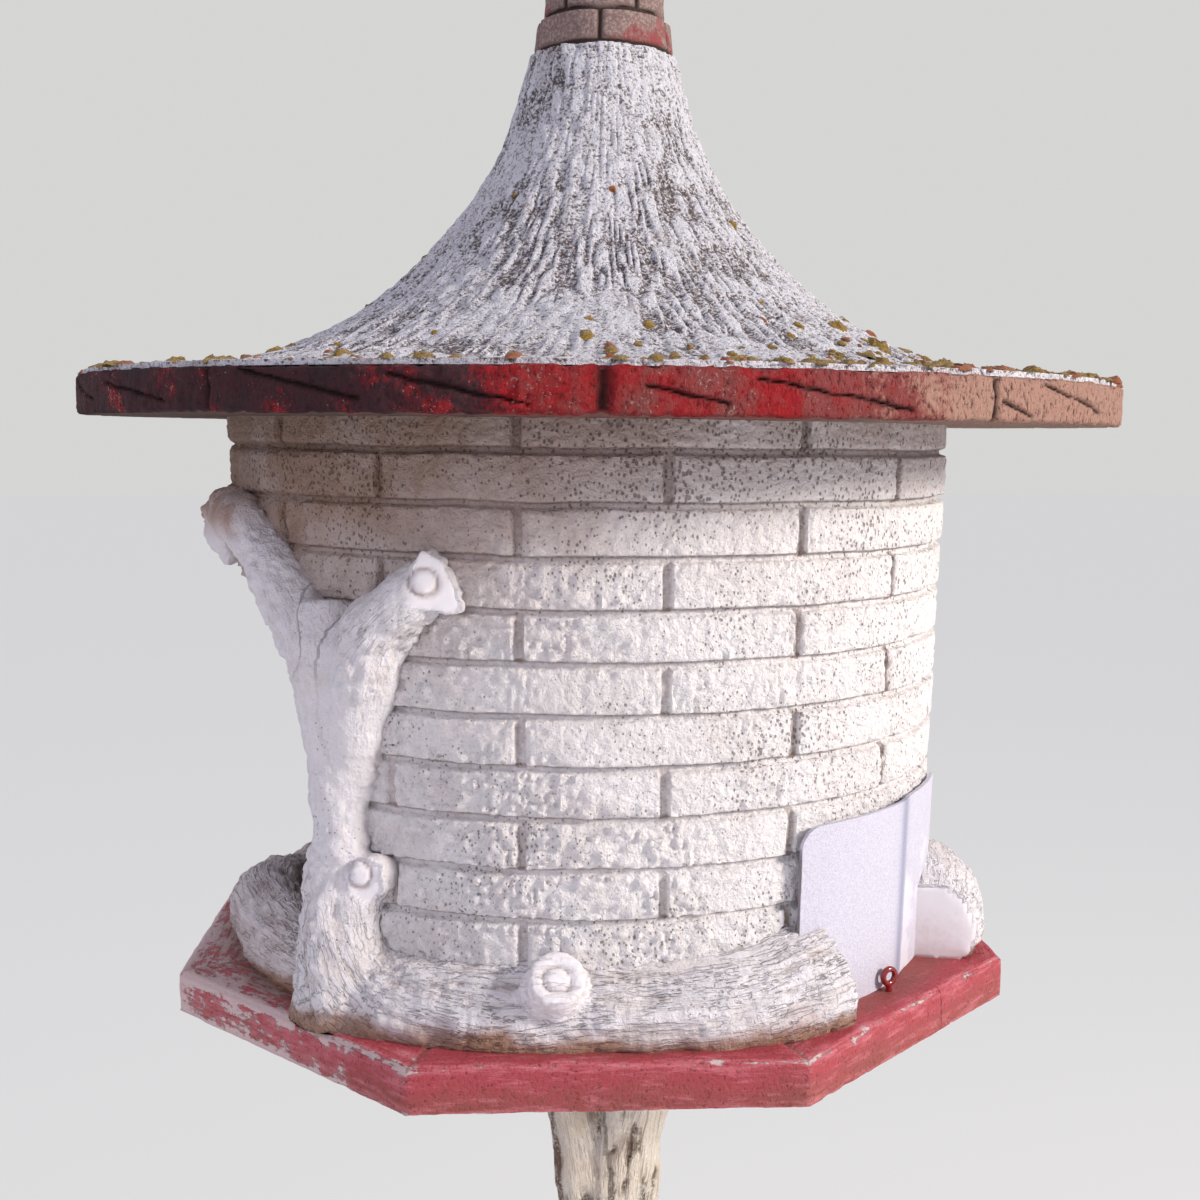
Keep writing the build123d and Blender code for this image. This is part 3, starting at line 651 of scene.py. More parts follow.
def white_masonry_paint():
    """White masonry paint on cast concrete: matt, lumpy, pitted, tan with dirt and painted shade under the
    eave and on the left side.
    """
    material, tree, shader, place = new_material("white_masonry_paint")
    joint = add(tree, "Attribute", {}, output="Fac", attribute_name="joint")
    shade = add(tree, "Attribute", {}, output="Fac", attribute_name="shade")
    patches = add(tree, "TexNoise", {"Vector": place, "Scale": per(40), "Detail": 6.0, "Roughness": 0.62})
    # The shade mark paints shade and dirt together: greyer, then tan, where painted shade falls under the
    # eave and on the left.
    stain_and_painted_shade = add(tree, "Math", {0: patches, 1: 0.9, 2: shade}, operation="MULTIPLY_ADD")
    stained = add(tree, "MapRange", {"Value": stain_and_painted_shade, "From Min": 0.42, "From Max": 0.95})
    colour = add(
        tree, "MixRGB", {"Fac": stained, "Color1": linear(paint_white), "Color2": linear(paint_shade)}
    )
    tanned = add(tree, "MapRange", {"Value": stain_and_painted_shade, "From Min": 0.85, "From Max": 1.5})
    colour = add(tree, "MixRGB", {"Fac": tanned, "Color1": colour, "Color2": linear(paint_tan)})
    grit = add(tree, "TexNoise", {"Vector": place, "Scale": per(3.5), "Detail": 5.0, "Roughness": 0.66})
    # The joint mark darkens the joints with dirt and with the painted shadow under each brick.
    in_joint = add(tree, "Math", {0: joint, 1: grit}, operation="MULTIPLY")
    joint_dirt_and_painted_shadow = add(tree, "MapRange", {"Value": in_joint, "From Min": 0.12, "From Max": 0.52, "To Max": 0.85})
    run_off = add(tree, "Attribute", {}, output="Fac", attribute_name="run_off")
    ochre = add(tree, "Math", {0: patches, 1: run_off}, operation="ADD")
    ochre = add(tree, "MapRange", {"Value": ochre, "From Min": 0.95, "From Max": 1.2, "To Max": 0.7})
    soil = add(tree, "MixRGB", {"Fac": ochre, "Color1": linear(paint_dirt), "Color2": linear(paint_ochre)})
    colour = add(tree, "MixRGB", {"Fac": joint_dirt_and_painted_shadow, "Color1": colour, "Color2": soil})
    crowds = add(tree, "TexNoise", {"Vector": place, "Scale": per(55), "Detail": 2.0, "Roughness": 0.6})
    wide = add(
        tree, "MapRange",
        {"Value": crowds, "From Min": 0.34, "From Max": 0.66, "To Min": 0.2, "To Max": 0.45},
    )
    holed = add(tree, "Attribute", {}, output="Fac", attribute_name="holed")
    wide = add(tree, "Math", {0: wide, 1: holed}, operation="ADD")
    tall_place = add(tree, "Mapping", {"Vector": place, "Scale": (1.0, 1.0, 0.7)})
    cells = add(tree, "TexVoronoi", {"Vector": tall_place, "Scale": per(2.7), "Randomness": 1.0})
    ragged = add(tree, "Math", {0: grit, 1: 0.6, 2: cells}, operation="MULTIPLY_ADD")
    inside = add(tree, "Math", {0: wide, 1: ragged}, operation="SUBTRACT")
    pit = add(tree, "MapRange", {"Value": inside, "From Min": -0.2, "From Max": -0.06})
    soiled = add(tree, "Math", {0: pit, 1: 0.6}, operation="MULTIPLY")
    colour = add(tree, "MixRGB", {"Fac": soiled, "Color1": colour, "Color2": linear(paint_pit)})
    tree.links.new(colour, shader.inputs["Base Color"])
    shader.inputs["Roughness"].default_value = 0.82
    shader.inputs["Specular IOR Level"].default_value = 0.3
    chiselled = add(tree, "TexNoise", {"Vector": place, "Scale": per(5), "Detail": 5.0, "Roughness": 0.62})
    height = add(tree, "Math", {0: pit, 1: -0.3, 2: chiselled}, operation="MULTIPLY_ADD")
    height = add(tree, "Math", {0: grit, 1: 0.45, 2: height}, operation="MULTIPLY_ADD")
    relief = add(tree, "Bump", {"Height": height, "Strength": 0.9, "Distance": 7 * mm})
    tree.links.new(relief, shader.inputs["Normal"])
    return material


def arc_of(node):
    """The angles at which a wall node starts and ends."""
    points = np.array([corner.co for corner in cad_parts[node].data.vertices])
    angles = np.degrees(np.arctan2(points[:, 0] - house_x, -points[:, 1]))
    middle = points.mean(0)
    toward = degrees(np.arctan2(middle[0] - house_x, -middle[1]))
    apart = (angles - toward + 180) % 360 - 180
    return toward + apart.min(), toward + apart.max()


def arch_height(angle):
    """The height of the entrance arch over the floor at an angle."""
    rise = arch_crown - arch_spring
    bend_radius = (arch_half_width**2 + rise**2) / (2 * rise)
    across = wall_radius(arch_spring) * np.sin(np.radians(angle - entrance_angle))
    return arch_crown - bend_radius + np.sqrt(np.maximum(bend_radius**2 - across**2, 0))


def wall_mesh(node):
    """A segment of the wall as a closed shell: bricks outside, smooth inside."""
    start, end = arc_of(node)
    toward = ((start + end) / 2 + 180) % 360 - 180
    in_view = abs(toward) < 75
    angle = wall_grid_angles(start, end, 50 if in_view else 22)
    foot = max(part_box(node)[0].z - floor_z, 0)
    if node == "entrance_arch":
        foot = arch_spring
    heights = wall_grid_heights(foot, 22 if in_view else 11)[:, None]
    if node == "entrance_arch":
        low = arch_height(angle)
        heights = low + (heights - foot) / (wall_height - foot) * (wall_height - low)
    heights = np.broadcast_to(heights, (len(heights), len(angle)))
    relief, joint = brick_relief(angle, heights)
    crooked = (
        -tan(radians(roof_tilt)) * wall_radius(heights)
        * np.sin(np.radians(angle)) * heights / wall_height
    )
    outside = round_house(angle, wall_radius(heights) + relief, heights + crooked)
    rows = np.linspace(len(heights) - 1, 0, 14).round().astype(int)
    inner_radius = wall_radius(heights[rows]) - wall_thick
    inside = round_house(angle, inner_radius, (heights + crooked)[rows])
    inside = inside + 0.0 * inner_radius[..., None]
    points = np.vstack([outside, inside])
    to_right = np.sin(np.radians(angle))
    # Painted shade: the wall darkens towards its left side and under the eave, as if in shade; under the
    # eave it is also dirt.
    left_painted_shade = smooth(0.5, -0.64, to_right)
    share = heights / wall_height
    under_eave = (0.5 + 0.35 * left_painted_shade) * smooth(0.82 - 0.36 * left_painted_shade, 0.99 - 0.06 * left_painted_shade, share)
    # Darker towards the foot.
    darker_at_foot = 0.16 * smooth(60 * mm, 0, heights)
    shade = under_eave + 0.16 * left_painted_shade + darker_at_foot
    # The inside of the wall is painted dark, as if in shade.
    shade = np.vstack([shade, np.full((len(rows), len(angle)), 0.9)])
    joint = np.vstack([joint, np.zeros((len(rows), len(angle)))])
    run_off = smooth(130 * mm, 30 * mm, heights) * smooth(0.1, 0.5, to_right)
    run_off = np.vstack([run_off, np.zeros((len(rows), len(angle)))])
    holed = 0.07 * smooth(-0.47, 0.2, to_right) + 0.06 * smooth(0.7, 0.9, share) - 0.05
    holed = np.vstack([holed, np.full((len(rows), len(angle)), -0.2)])
    marks = {"joint": joint, "shade": shade, "run_off": run_off, "holed": holed}
    return skin(node, points, True, False, capped=True, marks=marks)


wall_paint = white_masonry_paint()
wall_nodes = sorted(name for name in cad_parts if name.startswith("wall_")) + ["entrance_arch"]
for node in wall_nodes:
    place_piece(f"bricks_{node}", wall_mesh(node), wall_paint, [node])


# Tree round the entrance: trunks, branches and stubs modelled on the wall when it was
# cast, with bark pressed in and painted white. The branch ends look freshly sawn.
entrance_edge = arc_of("entrance_arch")[1]
trunk_angle = entrance_edge + 5.5
fork_height = 222 * mm
tree_voxel = 1.95 * mm
bark_white = "#ece9ec"
bark_shade = "#e5dedd"
bark_crack = "#7a675f"
bark_tan = "#b3958a"
bark_ochre = "#9a7358"
bark_pit = "#4b3b35"


def on_wall(angle, height, proud):
    """A point of the wall's face at an angle and a height in millimetres, that far proud of it."""
    reach = wall_radius(height * mm) + proud * mm
    return round_house(angle, reach, height * mm)


def painted_bark():
    """White paint on cast bark: bright on the ridges, brown in fine cracks, ochre at the foot, tan with
    painted shade where it faces left and near the eave.
    """
    material, tree, shader, place = new_material("painted_bark")
    ridge = add(tree, "Attribute", {}, output="Fac", attribute_name="ridge")
    stain_and_painted_shade = add(tree, "Attribute", {}, output="Fac", attribute_name="stain_and_painted_shade")
    sawn = add(tree, "Attribute", {}, output="Fac", attribute_name="sawn")
    furrowed = add(tree, "Attribute", {}, output="Fac", attribute_name="furrowed")
    rough_only = add(tree, "Math", {0: 1.0, 1: sawn}, operation="SUBTRACT")
    streaks = bark_streaks(tree, 3.6, 34.0)
    patches = add(tree, "TexNoise", {"Vector": place, "Scale": per(28), "Detail": 6.0, "Roughness": 0.64})
    grit = add(tree, "TexNoise", {"Vector": place, "Scale": per(3.0), "Detail": 5.0, "Roughness": 0.66})
    level = add(tree, "Math", {0: streaks, 1: 0.8, 2: patches}, operation="MULTIPLY_ADD")
    level = add(tree, "Math", {0: ridge, 1: 0.3, 2: level}, operation="MULTIPLY_ADD")
    worn = add(tree, "MapRange", {"Value": level, "From Min": 1.2, "From Max": 0.95})
    colour = add(tree, "MixRGB", {"Fac": worn, "Color1": linear(bark_white), "Color2": linear(bark_shade)})
    beside = add(tree, "Math", {0: streaks, 1: 0.47}, operation="SUBTRACT")
    beside = add(tree, "Math", {0: beside}, operation="ABSOLUTE")
    split = add(tree, "MapRange", {"Value": beside, "From Min": 0.016, "From Max": 0.003})
    open_here = add(tree, "Math", {0: furrowed, 1: 0.3, 2: patches}, operation="MULTIPLY_ADD")
    open_here = add(tree, "MapRange", {"Value": open_here, "From Min": 0.66, "From Max": 0.82})
    split = add(tree, "Math", {0: split, 1: open_here}, operation="MULTIPLY")
    deep = add(tree, "MapRange", {"Value": ridge, "From Min": 0.42, "From Max": 0.12, "To Max": 0.55})
    crack = add(tree, "Math", {0: split, 1: deep}, operation="MAXIMUM")
    crack = add(tree, "Math", {0: crack, 1: rough_only}, operation="MULTIPLY")
    groove = add(tree, "Math", {0: 1.0, 1: ridge}, operation="SUBTRACT")
    groove = add(tree, "Math", {0: groove, 1: sawn}, operation="MULTIPLY")
    crack = add(tree, "Math", {0: crack, 1: groove}, operation="MAXIMUM")
    brown = add(tree, "Math", {0: crack, 1: 0.62}, operation="MULTIPLY")
    colour = add(tree, "MixRGB", {"Fac": brown, "Color1": colour, "Color2": linear(bark_crack)})
    # This mark carries real stains together with painted shade on left-facing bark and near the eave.
    wet = add(tree, "Math", {0: patches, 1: 0.8, 2: stain_and_painted_shade}, operation="MULTIPLY_ADD")
    tanned = add(tree, "MapRange", {"Value": wet, "From Min": 0.55, "From Max": 1.15, "To Max": 0.85})
    colour = add(tree, "MixRGB", {"Fac": tanned, "Color1": colour, "Color2": linear(bark_tan)})
    stained = add(tree, "MapRange", {"Value": wet, "From Min": 0.95, "From Max": 1.4, "To Max": 0.8})
    colour = add(tree, "MixRGB", {"Fac": stained, "Color1": colour, "Color2": linear(bark_ochre)})
    crowds = add(tree, "TexNoise", {"Vector": place, "Scale": per(40), "Detail": 2.0, "Roughness": 0.6})
    cells = add(tree, "TexVoronoi", {"Vector": place, "Scale": per(3.0), "Randomness": 1.0})
    ragged = add(tree, "Math", {0: grit, 1: 0.5, 2: cells}, operation="MULTIPLY_ADD")
    inside = add(tree, "Math", {0: crowds, 1: 0.75, 2: -0.3}, operation="MULTIPLY_ADD")
    inside = add(tree, "Math", {0: inside, 1: ragged}, operation="SUBTRACT")
    pit = add(tree, "MapRange", {"Value": inside, "From Min": -0.24, "From Max": -0.12})
    pit = add(tree, "Math", {0: pit, 1: rough_only}, operation="MULTIPLY")
    soiled = add(tree, "Math", {0: pit, 1: 0.6}, operation="MULTIPLY")
    colour = add(tree, "MixRGB", {"Fac": soiled, "Color1": colour, "Color2": linear(bark_pit)})
    tree.links.new(colour, shader.inputs["Base Color"])
    shader.inputs["Roughness"].default_value = 0.8
    shader.inputs["Specular IOR Level"].default_value = 0.3
    wrinkled = add(tree, "MapRange", {"Value": streaks, "From Min": 0.42, "From Max": 0.56})
    height = add(tree, "Math", {0: pit, 1: -0.3, 2: grit}, operation="MULTIPLY_ADD")
    wrinkled = add(tree, "Math", {0: wrinkled, 1: furrowed}, operation="MULTIPLY")
    height = add(tree, "Math", {0: wrinkled, 1: 0.6, 2: height}, operation="MULTIPLY_ADD")
    height = add(tree, "Math", {0: split, 1: -0.5, 2: height}, operation="MULTIPLY_ADD")
    height = add(tree, "Math", {0: height, 1: rough_only}, operation="MULTIPLY")
    relief = add(tree, "Bump", {"Height": height, "Strength": 0.9, "Distance": 3.2 * mm})
    tree.links.new(relief, shader.inputs["Normal"])
    return material


def sawn_end(outline, thickness):
    """A branch's sawn end: a flat outline of (angle, height, proud) and a wider one sunk in the wall."""
    front = np.array([on_wall(*corner) for corner in outline])
    middle = front.mean(0)
    facing = np.cross(front[len(front) // 2] - front[0], front[-2] - front[1])
    off_axis = middle - np.array([house_x, 0, middle[2]])
    facing *= np.sign(facing @ off_axis) / np.linalg.norm(facing)
    back = middle + 0.95 * (front - middle) - thickness * mm * off_axis / np.linalg.norm(off_axis)
    count = len(front)
    faces = [list(range(count)), list(range(2 * count - 1, count - 1, -1))]
    faces += [[(side + 1) % count, side, side + count, (side + 1) % count + count] for side in range(count)]
    corners = np.vstack([front, back]).tolist()
    return {"corners": corners, "faces": faces, "front": front, "middle": middle, "facing": facing}


def within_outline(points, end):
    """1 inside a sawn end's outline, 0 outside it, with a ragged edge."""
    front, middle, facing = end["front"], end["middle"], end["facing"]
    least = np.full(len(points), 1.0)
    for corner, following in zip(front, np.roll(front, -1, axis=0)):
        inward = np.cross(facing, following - corner)
        inward *= np.sign((middle - corner) @ inward) / np.linalg.norm(inward)
        least = np.minimum(least, (points - corner) @ inward)
    return smooth(-1.6 * mm, 0.2 * mm, least + 2.2 * mm * lumps(points, 6 * mm, seed=71))


def carve_rings(points, normals, middle, facing, heart, disc_radius, inside):
    """A raised disc and a groove round it in a sawn face, and where the face is."""
    heart = heart - ((heart - middle) @ facing) * facing
    off = points - heart
    ahead = off @ facing
    off_axis = np.linalg.norm(off - ahead[:, None] * facing, axis=1)
    off_axis = off_axis * (1 + 0.25 * lumps(points, 9 * mm, seed=70))
    on_face = smooth(-6 * mm, -3.5 * mm, ahead) * inside * smooth(0.6, 0.85, normals @ facing)
    groove = np.exp(-(((off_axis - disc_radius) / (1.1 * mm)) ** 2)) * on_face
    disc = smooth(disc_radius, disc_radius - 2 * mm, off_axis) * on_face
    return (0.9 * mm * disc - 1.9 * mm * groove)[:, None] * facing, on_face, groove


def keep_on_wall(points, depth):
    """Keep points from reaching further into the house than a little way into its wall."""
    off = points[:, :2] - np.array([house_x, 0])
    radius = np.linalg.norm(off, axis=1)
    least = wall_radius(np.maximum(points[:, 2] - floor_z, 0)) - depth
    factor = np.maximum(radius, least) / radius
    points[:, :2] = np.array([house_x, 0]) + off * factor[:, None]
    points[:, 2] = np.maximum(points[:, 2], floor_z - 0.5 * mm)
    return points


def around(points):
    """Angles of points round the house, from its front towards the right."""
    return np.degrees(np.arctan2(points[:, 0] - house_x, -points[:, 1]))


def far_side(angle):
    """The same angle on the far side of the entrance's middle."""
    return 2 * entrance_angle - angle


fork = fork_height / mm
crown = arch_crown / mm
trunk_path = [
    (trunk_angle - 1, fork + 26, -4, 21), (trunk_angle - 0.5, fork, 0, 27),
    (trunk_angle + 0.5, 0.85 * fork, 2, 24), (trunk_angle + 1, 0.68 * fork, 5, 19),
    (trunk_angle + 1, 0.53 * fork, 6, 17), (trunk_angle + 0.3, 0.34 * fork, 5, 24),
    (trunk_angle + 1, 0.13 * fork, 5, 31), (trunk_angle + 1, -8, 4, 37),
]
upper_path = [
    (entrance_edge + 2, fork, 5, 20), (entrance_edge - 3.1, crown - 16, 6, 18),
    (entrance_edge - 8.7, crown + 8, 6, 16.5), (entrance_edge - 15, crown + 23, 3, 18),
    (entrance_edge - 24, crown + 28, 0, 18), (entrance_angle, crown + 26, 0, 18),
]
sawn_path = [
    (trunk_angle + 2.5, fork - 84, 0, 14), (trunk_angle + 3.6, fork - 54, 3, 18),
    (trunk_angle + 4.9, fork - 26, 4, 21), (trunk_angle + 7.5, fork + 4, 6, 21),
    (trunk_angle + 12, fork + 26, 5, 19), (trunk_angle + 16.5, fork + 42, 0, 17),
]
stub_path = [(trunk_angle + 3, 44, 0, 13), (trunk_angle + 4, 66, 4, 13), (trunk_angle + 5.6, 86, 4, 10)]
crown_path = [(entrance_angle + 1, crown + 18, -10, 25), (entrance_angle + 3, crown + 10, 14, 21)]
sawn_outline = [
    (-20.6, 285, 15), (-18.4, 279, 10), (-16.7, 261, 7), (-16.4, 250, 7),
    (-18.4, 247, 11), (-22.3, 255, 19), (-22.0, 265, 19), (-21.8, 277, 18),
]
stub_outline = [
    (-32.5, 89, 22), (-31.6, 100, 20), (-29.8, 101, 16), (-28.6, 98, 13),
    (-28.9, 83, 11), (-30.2, 76, 12), (-31.9, 78, 18), (-32.7, 82, 20),
]


def path_limb(path, mirror=False):
    """A limb on the wall; each station is (angle, height, proud, radius), in millimetres."""
    if mirror:
        path = [(far_side(angle), *rest) for angle, *rest in path]
    outward = on_wall(path[0][0], 0, 0) - np.array([house_x, 0, floor_z])
    level = outward if abs(path[-1][1] - path[0][1]) > 40 else (0, 0, 1)
    return limb(
        [(on_wall(angle, height, proud), radius * mm) for angle, height, proud, radius in path], level
    )


# Logs: cast with the tree, they lie round the foot of the wall, one of them as the
# entrance's sill. They are sawn off beside the hatch, and a knot stands on the front one.
hatch_start, hatch_end = arc_of("wall_over_hatch")
entrance_start = arc_of("entrance_arch")[0]
back_middle = (hatch_end + entrance_start + 360) / 2
front_log_path = [
    (trunk_angle + 1.5, 4, -9, 42), (-26, 3, -8, 40), (-14, 4, -13, 40), (-3, 5, -19, 40),
    (8, 6, -17, 41), (20, 8, -9, 41), (hatch_start - 6, 13, -6, 42), (hatch_start, 16, -5, 42),
]
knot_path = [(-4.2, 28, 4, 20), (-3.7, 44, 19, 16)]
sill_path = [
    (entrance_edge + 2, 12, -8, 26), (entrance_edge - 10, 18, -6, 27), (entrance_edge - 22, 20, -8, 27),
    (entrance_edge - 36, 19, -8, 26), (entrance_edge - 48, 16, -9, 23), (entrance_edge - 60, 10, -10, 18),
    (entrance_start - 2, 12, -6, 20),
]
back_right_path = [
    (65, 20, 13, 33), (75, 22, 5, 38), (91, 16, -4, 40), (113, 8, -12, 41),
    (back_middle - 20, 5, -16, 41), (back_middle, 5, -17, 41),
]
back_left_path = [
    (back_middle, 5, -17, 41), (back_middle + 22, 5, -17, 40), (back_middle + 44, 4, -14, 40),
    (entrance_start + 353, 4, -9, 42),
]


def bark_mesh(
    name, limbs, lines, voxel, seed, ends=(), knots=(), cuts=(), furrow=2.4, depth=6 * mm, tan=0.0
):
    """Branches or logs in one skin, with bark, sawn ends and their growth rings."""
    blocks = [(end["corners"], end["faces"]) for end, _ in ends]
    mesh = cast_skin(name, limbs, voxel, blocks)
    points, normals = corners_of(mesh)
    ridge, on_limb = bark_relief(points, normals, lines, 5.6 * mm, 26 * mm, seed)
    sawn = np.zeros(len(points))
    groove = np.zeros(len(points))
    shift = np.zeros_like(points)
    for end, heart in ends:
        inside = within_outline(points, end)
        carved = carve_rings(
            points, normals, end["middle"], end["facing"], on_wall(*heart), 7.2 * mm, inside
        )
        shift, sawn, groove = shift + carved[0], np.maximum(sawn, carved[1]), np.maximum(groove, carved[2])
    for branch in knots:
        tip, facing, radius = branch["centres"][-1], branch["along"][-1], branch["radii"][-1]
        inside = smooth(1.2 * radius, 1.2 * radius - 3 * mm, np.linalg.norm(points - tip, axis=1))
        carved = carve_rings(points, normals, tip, facing, tip, 0.5 * radius, inside)
        shift = shift + carved[0]
        sawn = np.maximum(sawn, 0.6 * carved[1])
        groove = np.maximum(groove, carved[2])
        sawn = np.maximum(
            sawn, 0.75 * smooth(2.0 * radius, 1.3 * radius, np.linalg.norm(points - tip, axis=1))
        )
    for middle, facing, radius in cuts:
        near = np.linalg.norm(points - middle, axis=1) < 1.5 * radius
        sawn = np.maximum(sawn, near * smooth(0.75, 0.92, normals @ facing))
    low_down = smooth(120 * mm, 40 * mm, points[:, 2] - floor_z)
    furrowed = np.clip(0.2 + 0.8 * low_down + 0.5 * lumps(points, 60 * mm, seed + 3), 0.05, 1)
    furrowed = furrowed * smooth(290 * mm, 230 * mm, points[:, 2] - floor_z)
    knobs = np.abs(lumps(points, 8 * mm, seed + 14)) + 0.8 * np.abs(lumps(points, 4.6 * mm, seed + 15))
    height = furrow * mm * (ridge - 0.85) * furrowed + 3.4 * mm * crumble(points, 24 * mm, 2, seed=seed + 4)
    crumbly = 0.4 + 0.6 * smooth(-0.1, 0.1, lumps(points, 30 * mm, seed + 16))
    height = height + 2.8 * mm * crumbly * (np.minimum(knobs, 1.0) - 0.5)
    points = points + shift + normals * (height * (1 - 0.88 * sawn))[:, None]
    points = keep_on_wall(points, depth)
    ridge = 1 - (1 - ridge) * furrowed
    ridge = ridge * (1 - sawn) + sawn * (1 - 0.85 * groove)
    over_floor = points[:, 2] - floor_z
    splashed = over_floor + 8 * mm * crumble(points, 20 * mm, 3, seed=seed + 8)
    # Painted shade: bark that faces left, and bark near the eave, is darkened as if in shade.
    left_side_painted_shade = smooth(0.35, 0.95, -normals[:, 0]) * smooth(10 * mm, 60 * mm, over_floor)
    stain_and_painted_shade = 0.8 * smooth(16 * mm, 2 * mm, splashed) + 0.14 * smooth(40 * mm, 10 * mm, splashed)
    at_crown = (
        smooth(entrance_edge - 4, entrance_edge - 14, around(points))
        * smooth(270 * mm, 300 * mm, over_floor)
    )
    stain_and_painted_shade = stain_and_painted_shade + tan + 0.12 * left_side_painted_shade + 0.1 * smooth(250 * mm, 315 * mm, over_floor) + 0.5 * at_crown
    marks = {"ridge": ridge, "furrowed": furrowed, "stain_and_painted_shade": stain_and_painted_shade * (1 - 0.7 * sawn), "sawn": sawn}
    return finish_cast(mesh, points, on_limb, marks)


bark_paint = painted_bark()
front_log = path_limb(front_log_path)
knot = path_limb(knot_path)
tree_limbs, tree_lines, tree_ends = [], [], []
for mirror in (False, True):
    paths = [trunk_path, upper_path, sawn_path, stub_path]
    tree_limbs += [path_limb(path, mirror) for path in paths]
    lines = [trunk_path[:-1], upper_path[::-1], sawn_path[::-1]]
    if not mirror:
        lines[0] = (
            trunk_path[:-2] + [(trunk_angle + 3, 34, 3, 36), (trunk_angle + 9, 14, -4, 40)]
            + front_log_path[2:]
        )
    tree_lines += [path_limb(path, mirror) for path in lines]
    for outline, thickness, heart in (
        (sawn_outline, 22, (-20.4, 266.3, 14)),
        (stub_outline, 20, (-31.0, 91.8, 17)),
    ):
        if mirror:
            outline = [(far_side(angle), height, proud) for angle, height, proud in outline]
            heart = (far_side(heart[0]), *heart[1:])
        tree_ends.append((sawn_end(outline, thickness), heart))
tree_limbs += [path_limb(crown_path), front_log, knot]
tree_mesh = bark_mesh(
    "entrance_tree", tree_limbs, tree_lines, tree_voxel, seed=40, ends=tree_ends, knots=[knot],
    cuts=[(front_log["centres"][-1], front_log["along"][-1], 42 * mm)],
)
tree_parts = ["trunk", "upper_branch", "sawn_branch", "trunk_stub"]
tree_nodes = [f"{part}_{side}" for part in tree_parts for side in ("front", "rear")]
tree_nodes += ["crown_stub", "front_log", "log_stub"]
place_piece("entrance_tree", tree_mesh, bark_paint, tree_nodes)

sill_log = path_limb(sill_path)
sill_mesh = bark_mesh(
    "sill_log_bark", [sill_log], [sill_log], 2.2 * mm, seed=55, furrow=1.6, depth=40 * mm, tan=0.3
)
place_piece("sill_log_bark", sill_mesh, bark_paint, ["sill_log"])

back_logs = [path_limb(back_right_path), path_limb(back_left_path)]
back_cut = (back_logs[0]["centres"][0], -back_logs[0]["along"][0], 33 * mm)
back_mesh = bark_mesh("back_logs_bark", back_logs, back_logs, 3.3 * mm, seed=60, cuts=[back_cut])
place_piece(
    "back_logs_bark", back_mesh, bark_paint, ["back_log_right", "back_log_left"]
)


# Hatch: a sheet of steel bent to the wall and painted grey-white, loose in front of the
# cleaning opening. Its right side has lost a strip of paint along a crease.
hatch_angle = 55.0
hatch_half_angle = 25.0
hatch_height = 117 * mm
hatch_sheet = 2.5 * mm
hatch_clearance = 5.4 * mm
hatch_seat_gap = 0.3 * mm
hatch_corner = 14 * mm
far_corner = 24 * mm
crease_angle = 54.0
sheet_grey = "#cdccd7"
sheet_lilac = "#b6b5c6"
sheet_blue = "#7d829e"
sheet_bare = "#d3d3dc"
sheet_rust = "#5a4a44"


def painted_sheet():
    """Enamel paint rolled on thin steel sheet: satin, fine-speckled, worn at the edges."""
    material, tree, shader, place = new_material("painted_sheet_steel")
    speckle = add(tree, "TexNoise", {"Vector": place, "Scale": per(1.0), "Detail": 3.0, "Roughness": 0.6})
    clouds = add(tree, "TexNoise", {"Vector": place, "Scale": per(40), "Detail": 5.0, "Roughness": 0.6})
    fine = add(tree, "MapRange", {"Value": speckle, "From Min": 0.42, "From Max": 0.62})
    colour = add(tree, "MixRGB", {"Fac": fine, "Color1": linear(sheet_grey), "Color2": linear(sheet_lilac)})
    # Painted shade: a dark blue-grey band along the crease, where the bent sheet turns away from the light.
    crease_painted_shade = add(tree, "Attribute", {}, output="Fac", attribute_name="crease_painted_shade")
    colour = add(tree, "MixRGB", {"Fac": crease_painted_shade, "Color1": colour, "Color2": linear(sheet_blue)})
    peel = add(tree, "Attribute", {}, output="Fac", attribute_name="peel")
    ragged = add(tree, "Math", {0: peel, 1: clouds}, operation="ADD")
    peeled = add(tree, "MapRange", {"Value": ragged, "From Min": 1.1, "From Max": 1.16})
    colour = add(tree, "MixRGB", {"Fac": peeled, "Color1": colour, "Color2": linear(sheet_bare)})
    edge = add(tree, "Attribute", {}, output="Fac", attribute_name="edge")
    rubbed = add(tree, "Math", {0: edge, 1: clouds}, operation="ADD")
    rusty = add(tree, "MapRange", {"Value": rubbed, "From Min": 1.2, "From Max": 1.4, "To Max": 0.7})
    colour = add(tree, "MixRGB", {"Fac": rusty, "Color1": colour, "Color2": linear(sheet_rust)})
    tree.links.new(colour, shader.inputs["Base Color"])
    shader.inputs["Roughness"].default_value = 0.55
    shader.inputs["Specular IOR Level"].default_value = 0.35
    relief = add(tree, "Bump", {"Height": speckle, "Strength": 0.4, "Distance": 0.5 * mm})
    tree.links.new(relief, shader.inputs["Normal"])
    return material


